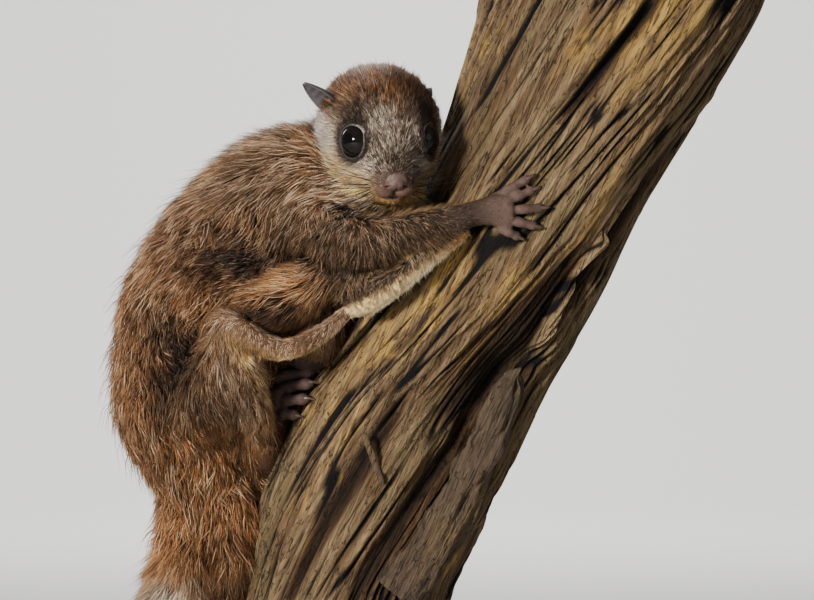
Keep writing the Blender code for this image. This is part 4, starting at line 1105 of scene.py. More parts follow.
def node(tree, kind, inputs=(), **settings):
    """A node with its settings, and its inputs as values or as outputs of other nodes."""
    made = tree.nodes.new("ShaderNode" + kind)
    for key, value in settings.items():
        setattr(made, key, value)
    for key, value in dict(inputs).items():
        if isinstance(value, bpy.types.NodeSocket):
            tree.links.new(value, made.inputs[key])
        else:
            made.inputs[key].default_value = value
    return made


def grain(tree, scale, stretch=(1.0, 1.0, 1.0), turn=0.0, detail=3.0, rough=0.5):
    """Noise in object space, from 0 to 1, with features of 1 / scale metres, stretched along its own axes."""
    place = node(tree, "TexCoord").outputs["Object"]
    turned = node(tree, "Mapping", {"Vector": place, "Rotation": (0.0, turn, 0.0)}).outputs["Vector"]
    placed = node(tree, "Mapping", {"Vector": turned, "Scale": stretch}).outputs["Vector"]
    inputs = {"Vector": placed, "Scale": scale, "Detail": detail, "Roughness": rough}
    return node(tree, "TexNoise", inputs).outputs["Fac"]


def painted(tree, shader, factor, low, high):
    """The piece's stored colours, darkened and lightened by a factor from 0 to 1, as its base colour."""
    colour = node(tree, "Attribute", attribute_name="paint").outputs["Color"]
    change = node(tree, "MapRange", {"Value": factor, "To Min": low, "To Max": high}).outputs["Result"]
    change = node(tree, "CombineColor", {"Red": change, "Green": change, "Blue": change}).outputs["Color"]
    mix = node(tree, "Mix", {"Factor": 1.0}, data_type="RGBA", blend_type="MULTIPLY")
    sockets = [socket for socket in mix.inputs if socket.type == "RGBA"]
    tree.links.new(colour, sockets[0])
    tree.links.new(change, sockets[1])
    tree.links.new(mix.outputs[2], shader.inputs["Base Color"])


def bumped(tree, shader, height, distance, strength=1.0):
    inputs = {"Height": height, "Distance": distance, "Strength": strength}
    tree.links.new(node(tree, "Bump", inputs).outputs["Normal"], shader.inputs["Normal"])


def coat_material():
    made, tree, shader = material("fur", rough=0.45, specular=0.28)
    painted(tree, shader, grain(tree, 1800.0), 0.72, 1.28)
    return made


def skin_material(name, rough, specular):
    made, tree, shader = material(name, rough=rough, specular=specular)
    painted(tree, shader, grain(tree, 900.0), 0.70, 1.30)
    bumped(tree, shader, grain(tree, 1500.0), 0.0003)
    return made


COAT = coat_material()


# Tufts
def nearest_surface(points, normals, reach):
    """The skin's nearest points and normals, or the points as they are where the skin is too far away."""
    found, turned = points.copy(), normals.copy()
    query = SURFACE.find_nearest
    for k, (x, y, z) in enumerate(points.tolist()):
        place, normal, _, distance = query((x, y, z), reach[k])
        if place is not None:
            found[k] = place
            turned[k] = normal
    return found, turned


def tuft_mesh(name, paths, across, outs, half, thick, colours, places):
    """Solid three-sided tufts. paths: (n, stations, 3). The last station is the tip."""
    count, stations = paths.shape[:2]
    rings = stations - 1
    profile = {1: [1.0], 2: [0.75, 1.0], 3: [0.7, 1.0, 0.8]}[rings]
    corners = [(0.0, 1.0), (-1.0, -0.6), (1.0, -0.6)]
    size = rings * 3 + 1
    points = np.empty((count, size, 3))
    paints = np.empty((count, size, 3))
    uv = np.empty((count, size, 2))
    for r in range(rings):
        for c, (wide, high) in enumerate(corners):
            spread = across[:, r] * (half * profile[r] * wide)[:, None] + outs[:, r] * (thick * profile[r] * high)[:, None]
            points[:, r * 3 + c] = paths[:, r] + spread
            paints[:, r * 3 + c] = colours[:, r]
            uv[:, r * 3 + c] = places + np.array([wide * 0.0015, 0.003 * (r / rings) + 0.0004 * high])
    points[:, -1], paints[:, -1] = paths[:, -1], colours[:, -1]
    uv[:, -1] = places + np.array([0.0, 0.003])
    faces = [(0, 2, 1)]
    for r in range(rings - 1):
        for c in range(3):
            a, b = r * 3 + c, r * 3 + (c + 1) % 3
            faces += [(a, b, b + 3), (a, b + 3, a + 3)]
    last = (rings - 1) * 3
    faces += [(last + c, last + (c + 1) % 3, size - 1) for c in range(3)]
    faces = np.array(faces)[None] + (np.arange(count) * size)[:, None, None]
    faces = faces.reshape(-1, 3)
    obj = mesh_from(name, points.reshape(-1, 3), faces)
    paint(obj, paints.reshape(-1, 3))
    layer = obj.data.uv_layers.new(name="OFBake")
    layer.data.foreach_set("uv", np.clip(uv.reshape(-1, 2)[faces.ravel()], 0, 1).astype(np.float32).ravel())
    return obj


def unwrap(roots, owner, share):
    """Each root's place on an unwrap of the skin, a strip for each bone with its angle and its share as axes."""
    places = np.zeros((len(roots), 2))
    names, counts = np.unique(owner, return_counts=True)
    start = 0.0
    for number, count in zip(names, counts):
        mine = owner == number
        bone = BONES[number]
        centre = bone.line.at(bone.line.rows, share[mine] * bone.line.length)[:, :3]
        side = bone.line.at(bone.line.side, share[mine] * bone.line.length)
        up = bone.line.at(bone.line.up, share[mine] * bone.line.length)
        away = roots[mine] - centre
        turn = np.arctan2((away * up).sum(1), (away * side).sum(1)) / (2 * np.pi) + 0.5
        low, high = share[mine].min(), share[mine].max() + 1e-6
        wide = count / len(roots)
        places[mine, 0] = start + (0.01 + 0.97 * turn) * wide
        places[mine, 1] = 0.002 + 0.99 * (share[mine] - low) / (high - low)
        start += wide
    return places


def grow(name, slot, chosen, count, stations, clump, pull, spread, nodes=(), thin=1.0, size=1.0, stray=0.05):
    """One piece of the coat, on the skin's faces that are chosen."""
    draw = np.random.default_rng(sum(ord(c) for c in name))
    faces = SKIN_FACES[chosen]
    a, b, c = (SKIN_POINTS[faces[:, k]] for k in range(3))
    area = np.linalg.norm(np.cross(b - a, c - a), axis=1) / 2
    sizes = FIELD[faces].mean(1)
    hairy = (1 - BARE[faces].mean(1)) * (RING[faces].mean(1) > 0.5)
    likely = area * hairy / np.maximum(sizes[:, 1], 3.0) ** 0.35
    edges = np.cumsum(likely)
    pick = np.searchsorted(edges, (np.arange(count) + draw.random(count)) / count * edges[-1] * 0.999999)
    one, two = draw.random(count), draw.random(count)
    flip = one + two > 1
    one[flip], two[flip] = 1 - one[flip], 1 - two[flip]
    weights = np.stack([1 - one - two, one, two], 1)[:, :, None]
    corner = faces[pick]

    def mixed(values):
        return (values[corner] * weights).sum(1)

    roots, normals, flow, field = mixed(SKIN_POINTS), unit(mixed(SKIN_NORMALS)), mixed(FLOW), mixed(FIELD)
    flow = unit(flow - normals * (flow * normals).sum(1)[:, None])
    owner, share = OWNER[corner[:, 0]], np.clip(mixed(SHARE[:, None])[:, 0], 0, 1)

    order = draw.permutation(count)[: max(int(edges[-1] / likely.sum() * area.sum() / clump**2), 8)]
    tree = KDTree(len(order))
    for k, place in enumerate(roots[order].tolist()):
        tree.insert(place, k)
    tree.balance()
    nearest = np.array([tree.find(place)[1] for place in roots.tolist()])
    leader = order[nearest]

    own = draw.normal(0, 1, (count, 4))
    group = draw.normal(0, 1, (len(order), 4))[nearest]
    turn = np.radians(spread * own[:, 0] + spread * 1.1 * group[:, 0])
    turn += 0.35 * noise(roots / 14.0, 5)
    side = np.cross(normals, flow)
    way = flow * np.cos(turn)[:, None] + side * np.sin(turn)[:, None]
    longer = 1 + 0.14 * own[:, 1] + 0.12 * group[:, 1]
    wild = draw.random(count) < stray
    length = field[:, 1] * np.clip(longer, 0.45, 1.5) * np.where(wild, 1.25, 1.0) * size
    lift = field[:, 0] * size * np.clip(0.82 + 0.20 * own[:, 2] + 0.16 * group[:, 2], 0.25, 1.3)
    lift = np.minimum(np.where(wild, lift * 1.7, lift) + 0.15, length * 0.75)

    ends = roots + way * length[:, None]
    ends += (ends[leader] - ends) * (pull * draw.uniform(0.5, 1.0, count))[:, None]
    bend = np.cross(normals, way) * (0.10 * length * group[:, 3])[:, None]
    paths, outs, across = [roots - normals * 0.5], [normals], []
    for k in range(1, stations):
        t = k / (stations - 1)
        flat = roots + (ends - roots) * t + bend * t * (1 - t) * 2.0
        ground, turned = nearest_surface(flat, normals, np.maximum(length * 0.5, 2.0))
        turned = unit(turned + normals * 0.6)
        paths.append(ground + turned * (lift * (1 - (1 - t) ** 1.7))[:, None])
        outs.append(turned)
    paths, outs = np.stack(paths, 1), np.stack(outs, 1)
    steps = unit(np.diff(paths, axis=1))
    across = unit(np.cross(steps, outs[:, :-1]))
    outs = unit(np.cross(across, steps))

    mottle = 0.26 * noise(roots / 8.0, 3) + 0.22 * noise(roots / 19.0, 13)
    light = np.exp(0.18 * own[:, 3] + 0.16 * group[:, 0] + mottle)[:, None]
    pale = draw.random(count) < field[:, 15] * (1 + 0.5 * noise(roots / 7.0, 9))
    dark = draw.random(count) < 0.16
    root, middle, tip, bright = (field[:, 3 + 3 * k:6 + 3 * k] for k in range(4))
    tip = np.where(pale[:, None], bright, tip)
    tip = np.where(dark[:, None], root, tip)
    middle = np.where(pale[:, None], middle * 0.8 + bright * 0.2, middle)
    t = np.arange(stations)[None, :, None] / (stations - 1)
    if stations == 2:
        colours = np.stack([root * 0.3 + middle * 0.7, tip], 1)
    else:
        low, high = np.clip(t * 2, 0, 1), np.clip(t * 2 - 1, 0, 1)
        colours = root[:, None] * (1 - low) + middle[:, None] * low
        colours += (tip - middle)[:, None] * high
    colours = np.clip(colours * light[:, None], 0.002, 0.95)

    keep = np.ones(count, bool)
    spared = draw.random(count) < 0.15
    for centre, half in PARTINGS:
        gaps = [np.linalg.norm((place - centre) / np.array(half), axis=1) for place in (roots, ends)]
        keep &= ~((gaps[1] * (1 + 0.3 * noise(roots / 5.0, 8)) < 1) & (gaps[0] > 1) & ~spared)
    for eye in (1, -1):
        away = to_head(paths.reshape(-1, 3)) - sided(EYE_AT, eye)
        flat = away @ eye_frame(eye)
        turn = np.arctan2(flat[:, 1], flat[:, 0])
        over = (flat[:, 2] > 0) & (np.hypot(flat[:, 0], flat[:, 1]) < lid_radius(turn) + 0.4)
        over &= np.linalg.norm(away, axis=1) < 24
        keep &= ~over.reshape(count, stations).any(1)
    half = field[:, 2] * 0.5 * thin * np.clip(1 + 0.2 * own[:, 2], 0.6, 1.5)
    places = unwrap(roots, owner, share)
    obj = tuft_mesh(name, paths[keep], across[keep], outs[keep], half[keep], half[keep] * 0.55, colours[keep],
                    places[keep])
    obj.data.materials.append(COAT)
    print(name, "tufts", int(keep.sum()), "triangles", len(obj.data.polygons))
    return kept(obj, slot, *nodes)


def face_kinds():
    """For each face of the skin its kind of bone, its share along that bone, and its middle, plain and in the head's frame."""
    middle = SKIN_POINTS[SKIN_FACES].mean(1)
    return KIND[SKIN_FACES[:, 0]], SHARE[SKIN_FACES[:, 0]], middle, to_head(middle)


def make_coat():
    """Dense short hair everywhere, and longer curved hair over it on the back, rump and tail."""
    kind, share, middle, local = face_kinds()
    spine, head = kind == "spine", kind == "head"
    near = middle[:, 1] < 0
    front = head & (local[:, 1] > 8)
    trunk = spine & (share > 0.15) & (share <= 0.46)
    back = spine & (share > 0.15) & (share <= 0.33)
    rump = spine & (share > 0.33) & (share <= 0.46)
    tail = spine & (share > 0.46)
    legs = np.isin(kind, ("thigh", "shank", "flank"))
    grow("coat_face", "coat_face", front, 40000, 2, 1.8, 0.25, 7.0, thin=0.68)
    grow("coat_crown", "coat_face", head & ~front, 26000, 2, 2.4, 0.3, 8.0, thin=0.60)
    grow("coat_neck", "coat", spine & (share <= 0.15), 22000, 2, 3.2, 0.35, 11.0, thin=0.42)
    grow("coat_down_right", "coat", trunk & near, 36000, 2, 3.6, 0.35, 11.0, thin=0.40, size=0.72)
    grow("coat_down_left", "coat", trunk & ~near, 24000, 2, 3.6, 0.35, 11.0, thin=0.46, size=0.72)
    grow("coat_back_right", "coat", back & near, 11000, 3, 5.0, 0.45, 13.0, thin=0.38)
    grow("coat_back_left", "coat", back & ~near, 7000, 3, 5.0, 0.45, 13.0, thin=0.42)
    grow("coat_rump", "coat", rump, 9000, 3, 5.5, 0.45, 13.0, thin=0.40)
    grow("coat_tail_base", "coat_tail", tail & (share <= 0.57), 26000, 2, 4.0, 0.35, 12.0, thin=0.40, size=0.85)
    long = tail & (share > 0.57)
    grow("coat_tail_middle", "coat_tail", long & (share <= 0.76), 9000, 3, 6.0, 0.4, 13.0, thin=0.47)
    grow("coat_tail_end", "coat_tail", long & (share > 0.76), 8000, 3, 6.0, 0.35, 13.0, thin=0.47)
    grow("coat_arms", "coat", kind == "arm", 34000, 2, 3.0, 0.35, 11.0, thin=0.40)
    grow("coat_legs", "coat", legs, 30000, 2, 3.6, 0.4, 12.0, thin=0.42)
    grow("coat_membranes", "membrane_hem", np.isin(kind, ("front", "rear")), 25000, 2, 1.8, 0.2, 9.0, thin=0.62)
    grow("coat_hands", "coat", np.isin(kind, ("palm", "sole")), 7000, 2, 1.5, 0.1, 10.0, thin=0.55)


def finish_skin():
    """The skin's own colours: dark underfur where the coat grows, and bare skin elsewhere."""
    root, middle = FIELD[:, 3:6], FIELD[:, 6:9]
    fur = root * 0.6 + middle * 0.4
    tone = np.where((KIND == "sole")[:, None], np.array(FOOT_TONE), np.array(SKIN_TONE))
    tone = np.where((KIND == "palm")[:, None], np.array(HAND_TONE), tone)
    tone = tone * (1 + 0.30 * noise(SKIN_POINTS / 2.2, 21) + 0.20 * noise(SKIN_POINTS / 6.0, 22))[:, None]
    nose = np.linalg.norm((LOCAL - (0.0, 39.0, -13.0)) / (9.0, 8.0, 9.0), axis=1)
    tone = np.where((nose < 1.1)[:, None], np.array(NOSE_TONE) * (1 + 0.12 * noise(SKIN_POINTS / 1.6, 23))[:, None], tone)
    edge = np.exp(-(((RING + 0.15) / 0.40) ** 2))
    tone = np.where((RING < 4.0)[:, None], np.array(LID_TONE), tone)
    tone = tone + (np.array(RIM_TONE) - tone) * (edge * RIM)[:, None]
    tone = np.where((RING < -0.8)[:, None], np.array((0.012, 0.008, 0.008)), tone)
    colours = fur + (tone - fur) * BARE[:, None]
    paint(skin, np.clip(colours, 0.003, 0.95))
    skin.data.materials.clear()
    skin.data.materials.append(skin_material("under_fur", 0.7, 0.12))
    skin.data.materials.append(skin_material("bare_nose_and_lids", 0.42, 0.45))
    bare = (BARE[SKIN_FACES].mean(1) > 0.5) & (KIND[SKIN_FACES[:, 0]] == "head")
    skin.data.polygons.foreach_set("material_index", bare.astype(np.int32))
    skin.data.transform(Matrix.Scale(MM, 4))
    skin.data.shade_smooth()
    nodes = ["head", "nose", "lower_jaw", "neck", "torso", "tail_base", "tail_middle", "tail_tip"]
    for label in ("right", "left"):
        for part in ("upper_arm", "forearm", "hand", "thigh", "shank", "foot"):
            nodes.append(f"{part}_{label}")
        for part in ("flank", "rear_hem", "front_hem"):
            nodes.append(f"membrane_{part}_{label}")
    kept(skin, "skin", *nodes)


# Eyes, ears, claws and whiskers
def make_eye(label, side):
    axes = AXES @ eye_frame(side)
    obj = ball(f"eyeball_{label}", to_world(sided(EYE_AT, side)), [EYE_RADIUS * 0.994] * 3, axes, 72, 54, MM)
    flat = (points_of(obj) / MM - to_world(sided(EYE_AT, side))) @ axes
    out = np.hypot(flat[:, 0], flat[:, 1])
    turn = np.arctan2(flat[:, 1], flat[:, 0])
    ray = noise(np.stack([turn * 22 / np.pi, out * 0.5], 1), 4)
    iris = smoothstep(4.2, 4.8, out) * (1 - smoothstep(7.0, 8.4, out)) * (flat[:, 2] > 0)
    colour = np.array((0.0025, 0.002, 0.0025)) + np.outer(iris * (0.8 + 0.2 * ray), (0.005, 0.003, 0.002))
    paint(obj, colour)
    obj.data.materials.append(EYE_LOOK)
    return kept(obj, "eye", f"eye_{label}")


def eye_material():
    made, tree, shader = material("dark_wet_eye", rough=0.04, specular=0.24)
    shader.inputs["IOR"].default_value = 1.376
    painted(tree, shader, grain(tree, 1200.0), 0.9, 1.1)
    return made


def make_ear(label, side):
    """A thin cupped leaf, with a rolled rim and faint cross ridges, on the ear's line."""
    root, tip = (np.array(place) for place in EARS[label])
    along = tip - root
    length = np.linalg.norm(along)
    along = along / length
    facing = unit(np.array(EAR_FACES) - along * (np.array(EAR_FACES) @ along))
    across = np.cross(along, facing)
    sides, rings = 64, 40
    turn = 2 * np.pi * np.arange(sides) / sides
    points, shade = [], []
    for share in np.linspace(0.0, 1.0, rings):
        wide = EAR_HALF_WIDTH * math.sin(math.pi * (0.30 + 0.69 * share)) ** 0.75
        back = EAR_CUP_DEPTH * math.sin(math.pi * (0.35 + 0.62 * share))
        wall = 1.1 * (1 - share) + 0.45
        middle = root + along * length * (share * 1.12 - 0.12)
        u, lift = np.cos(turn), np.sin(turn)
        ridge = 0.18 * np.sin(share * 34.0) * (1 - u**2) * (lift > 0)
        rim = 0.9 * np.abs(u) ** 8
        depth = -back * (1 - u**2) + wall * lift * (1 - 0.5 * u**2) + ridge + rim
        points.append(middle + across * (wide * u)[:, None] + facing * depth[:, None])
        inner = smoothstep(-0.2, 0.5, lift) * (1 - u**4)
        shade.append(np.stack([inner, np.full(sides, share), np.abs(u)], 1))
    points = np.array(points) * (side, 1, 1)
    world = to_world(points.reshape(-1, 3)).reshape(points.shape)
    obj = loft(f"ear_leaf_{label}", world, MM)
    shade = np.array(shade).reshape(-1, 3)
    shade = np.concatenate([shade, shade[:1], shade[-1:]])
    # Painted shade darkens the ear's hollow towards its root, and a painted highlight pales its edges and tip
    outer, shaded_hollow, rim = np.array((0.060, 0.054, 0.060)), np.array((0.022, 0.018, 0.020)), np.array((0.17, 0.15, 0.15))
    colour = outer + (shaded_hollow - outer) * (shade[:, :1] * (1.1 - shade[:, 1:2]))
    edge = np.maximum(smoothstep(0.93, 1.0, shade[:, 2]), smoothstep(0.95, 1.0, shade[:, 1]))
    colour += (rim - colour) * edge[:, None] * 0.8
    colour *= (1 + 0.25 * noise(points_of(obj) / MM / 2.5, 31))[:, None]
    paint(obj, np.clip(colour, 0.003, 0.9))
    obj.data.materials.append(EAR_LOOK)
    return kept(obj, "skin", f"ear_{label}")


def ear_material():
    made, tree, shader = material("thin_bare_ear", rough=0.5, specular=0.4)
    painted(tree, shader, grain(tree, 1400.0), 0.8, 1.2)
    bumped(tree, shader, grain(tree, 2500.0), 0.0002)
    return made


def make_claws(label, side):
    shells = []
    for root, tip, bow, radius, outward, towards in digits(side):
        line = claw_line(root, tip, bow, radius, outward, towards)
        shells.append(loft("claw", line.rings(np.linspace(0, line.length, 22), 16, lambda s: s * 0, 0.1)))
    obj = joined(shells, f"claws_{label}")
    obj.data.transform(Matrix.Scale(MM, 4))
    points = points_of(obj) / MM
    paint(obj, np.array((0.055, 0.035, 0.026)) * (1 + 0.4 * noise(points / 1.5, 12))[:, None])
    obj.data.materials.append(CLAW_LOOK)
    return kept(obj, "skin")


def claw_material():
    made, tree, shader = material("claw_horn", rough=0.28, specular=0.5)
    painted(tree, shader, grain(tree, 900.0, (1, 1, 0.3)), 0.6, 1.5)
    return made


# Whiskers on each side: height and reach over the lip, how far out, forward and up each goes, and its length
WHISKER_ROWS = [(-14.2, 33.5), (-15.8, 34.0), (-17.4, 34.2), (-18.8, 34.0)]
WHISKER_RADIUS = 0.30
WHISKER_RISES = {1: (0.30, -0.02, -0.42, -0.80), -1: (0.48, 0.26, 0.04, -0.50)}


def make_whiskers(label, side, count):
    draw = np.random.default_rng(41 + side)
    shells, pale = [], []
    for k in range(count):
        row = k % 4
        z, y = WHISKER_ROWS[row]
        back = k // 4
        start = np.array([side * (6.3 + 1.1 * back), y - 1.6 * back, z + draw.normal(0, 0.3)])
        length = draw.uniform(26, 42)
        rise = WHISKER_RISES[side][row] + draw.normal(0, 0.08)
        way = unit(np.array([side * 1.0, 0.15 - 0.28 * back + draw.normal(0, 0.06), rise]))
        curl = np.array([side * -0.10, -0.55, -0.12 + draw.normal(0, 0.06)])
        rows = []
        for t in np.linspace(0, 1, 12):
            place = start + way * length * t + curl * length * 0.55 * t**2
            size = WHISKER_RADIUS * (1 - 0.9 * t)
            rows.append((*to_world(place), size, size))
        line = Line(rows, AXES[:, 2], samples=14)
        shells.append(loft("whisker", line.rings(np.linspace(0, line.length, 14), 4, lambda s: s * 0, 0.02)))
        pale.append(np.full(14 * 4 + 2, draw.random() < 0.03))
    obj = joined(shells, f"whiskers_{label}")
    obj.data.transform(Matrix.Scale(MM, 4))
    pale = np.concatenate(pale)[:, None]
    paint(obj, np.where(pale, (0.45, 0.38, 0.30), (0.012, 0.009, 0.008)))
    obj.data.materials.append(CLAW_LOOK)
    return kept(obj, "coat_face")


# Perch
WOOD = {
    "dark": (0.006, 0.004, 0.002),
    "brown": (0.125, 0.070, 0.032),
    "grey": (0.240, 0.160, 0.086),
    "pale": (0.500, 0.350, 0.180),
    "green": (0.180, 0.138, 0.062),
    "lichen": (0.520, 0.325, 0.085),
    "spur": (0.070, 0.050, 0.036),
    # Dark red-brown of the painted shade in the recess, the big cracks and the groove beside the splinter
    "recess_shade": (0.048, 0.019, 0.006),
}
# Where the lichen is thickest: X and Z of the middle, then half sizes
LICHEN = [((64, 522), (30, 44)), ((-14, 396), (13, 46)), ((-30, 330), (14, 34)), ((10, 300), (22, 30))]
TRUNK_LEAN = math.atan2(147.0, 324.0)
TRUNK_GIRTH = 56.0
# Standing sheet of wood beside the recess: angle, height, half length, rise, half width
RIDGE = (2.44, 427.0, 30.0, 6.5, 0.065)
# A chip stuck to the front face: its two ends in X and Z, and its radius
CHIP = ((-20.0, 357.0), (-11.0, 333.0), 1.7)


def wrapped(turn):
    return (turn + np.pi) % (2 * np.pi) - np.pi


def trunk_surface(turn, z, ring):
    """Relief of the wood in mm at angles and heights, and maps of its cracks, recesses and raised plates."""
    twist = GRAIN_TWIST * (z - 400)
    girth = TRUNK_GIRTH * np.stack([np.cos(turn - twist), np.sin(turn - twist)], -1)

    def rough(across, along, seed):
        return noise(np.concatenate([girth / across, z[..., None] / along], -1), seed)

    out = 0.7 * np.sin(5 * (turn - twist) + 1) + 0.5 * np.sin(11 * (turn - twist) + 0.4)
    ragged = 0.35 * rough(3.0, 16.0, 50)
    shaded_hollow = np.zeros_like(out)
    for middle, height, reach, depth, width in [*CRACKS, HOLLOW]:
        away = wrapped(turn - middle - GRAIN_TWIST * (z - height))
        along = np.minimum(np.abs(z - height) / reach, 1)
        fall = np.exp(-((away / width * (1 + ragged)) ** 2)) * (1 - along**4)
        out -= depth * fall
        shaded_hollow = np.maximum(shaded_hollow, fall)
    middle, height, reach, rise, width = RIDGE
    away = wrapped(turn - middle) + 0.02 * ragged
    sheet = smoothstep(-width, -0.7 * width, away) * (1 - smoothstep(0.2 * width, width, away))
    sheet *= 1 - smoothstep(0.82, 1.0, np.abs(z - height) / reach + 0.25 * ragged)
    plates = smoothstep(-0.05, 0.05, rough(13.0, 90.0, 55) + 0.30 * rough(2.4, 26.0, 56) - 0.12)
    flakes = smoothstep(-0.05, 0.05, rough(6.0, 44.0, 57) + 0.35 * rough(1.6, 16.0, 58) - 0.30)
    fibre = rough(1.3, 30.0, 52) * 0.40 + rough(3.0, 60.0, 51) * 0.45
    split = np.zeros_like(out)
    for across, along, seed, keep, width in (
        (9.0, 130.0, 53, 0.00, 0.09), (5.0, 80.0, 59, 0.05, 0.10), (13.0, 180.0, 60, -0.1, 0.08), (3.2, 60.0, 54, 0.0, 0.12),
    ):
        line = np.exp(-((rough(across, along, seed) / width) ** 2))
        split = np.maximum(split, line * smoothstep(keep, keep + 0.35, rough(24.0, 50.0, seed + 20)))
    out += (1.0 * fibre + 1.3 * plates + 0.8 * flakes - 2.4 * split - 0.9) * ring + rise * sheet
    return out, np.stack([shaded_hollow * (1 - sheet), split, plates + 0.6 * flakes, fibre, sheet], -1)


def wood_colours(points, maps):
    """Weathered grey-brown wood with dark cracks, ochre lichen, a green-grey film, and painted shade in the recess, the
    big cracks and the groove beside the splinter.
    """
    shaded_hollow, split, plates, fibre, sheet = maps.T
    along = points.copy()
    along[:, 0] -= math.tan(TRUNK_LEAN) * (along[:, 2] - 400)

    def rough(across, reach, seed):
        return noise(along / (across, across, reach), seed)

    def blend(colour, name, share):
        return colour + (np.array(WOOD[name]) - colour) * np.clip(share, 0, 1)[:, None]

    streak = rough(1.1, 22.0, 61) * 0.6 + rough(3.2, 50.0, 62) * 0.5 + fibre * 0.9
    colour = blend(np.array(WOOD["brown"]) * np.ones_like(points), "grey", smoothstep(-0.7, 0.5, streak))
    colour = blend(colour, "pale", smoothstep(0.45, 1.1, streak) * 0.7)
    patch = rough(24.0, 46.0, 63) + 0.5 * rough(7.0, 14.0, 64) - 0.35
    for (x, z), half in LICHEN:
        patch += 0.75 * np.exp(-(((points[:, 0] - x) / half[0]) ** 2 + ((points[:, 2] - z) / half[1]) ** 2))
    speck = rough(1.2, 2.6, 65) * 0.7 + rough(3.0, 9.0, 67) * 0.6
    colour = blend(colour, "green", smoothstep(0.3, 0.9, -patch + 0.3 * speck) * 0.5)
    lichen = smoothstep(-0.35, 0.6, patch) * smoothstep(-0.2, 0.5, speck + plates - 0.6)
    colour = blend(colour, "lichen", lichen * 0.8)
    # Painted shade: the recess, the big cracks and the groove beside the splinter turn dark red-brown, and near black
    # where deepest
    colour = blend(colour, "recess_shade", smoothstep(0.25, 0.8, shaded_hollow) * 0.85)
    # The raised sheet is paler: partly lighter wood, partly a painted highlight on its raised face
    colour = blend(colour, "pale", sheet * 0.45)
    colour = blend(colour, "dark", np.maximum(smoothstep(0.15, 0.75, split), smoothstep(0.6, 1.0, shaded_hollow) * 0.75))
    # Darker where the plates and fibres are low, lighter where they are raised
    colour *= (0.72 + 0.28 * smoothstep(-0.6, 0.9, plates + fibre))[:, None]
    return colour


def spur_rings():
    """The splinter, fluted along its length, with fibres that break off at different heights."""
    spur = Line(SPLINTER, (1.0, 0.0, -0.6), samples=110)
    stops = np.linspace(0, 1, 110)
    turn = np.arange(48) / 48
    rings = spur.rings(stops * spur.length, 48, lambda s: s * 0)
    centre = rings.mean(1, keepdims=True)
    around = np.stack([np.cos(2 * np.pi * turn), np.sin(2 * np.pi * turn)], -1)
    full = np.concatenate([np.broadcast_to(around * 3.0, (110, 48, 2)), np.repeat(stops[:, None, None], 48, 1) * 9], -1)
    flute = 0.24 * noise(full, 71) + 0.15 * noise(full * (2.2, 2.2, 2.0), 72)
    ends = 0.93 + 0.07 * noise(np.concatenate([around * 2.4, np.zeros((48, 1))], -1), 73)
    closed = 1 - smoothstep(-0.03, 0.015, stops[:, None] - ends[None])
    return centre + (rings - centre) * ((1 + flute) * (0.12 + 0.88 * closed))[..., None]


def chip_rings():
    (x0, z0), (x1, z1), radius = CHIP
    rows = []
    for t in np.linspace(0, 1, 9):
        x, z = x0 + (x1 - x0) * t, z0 + (z1 - z0) * t
        size = radius * (0.55 + 0.45 * math.sin(math.pi * (0.15 + 0.7 * t)))
        rows.append((*trunk_face(x, z, 1.6 + 0.8 * t, -1), size, size * 0.6))
    line = Line(rows, (1, 0, 0), samples=30)
    return line.rings(np.linspace(0, line.length, 30), 12, lambda s: s * 0)


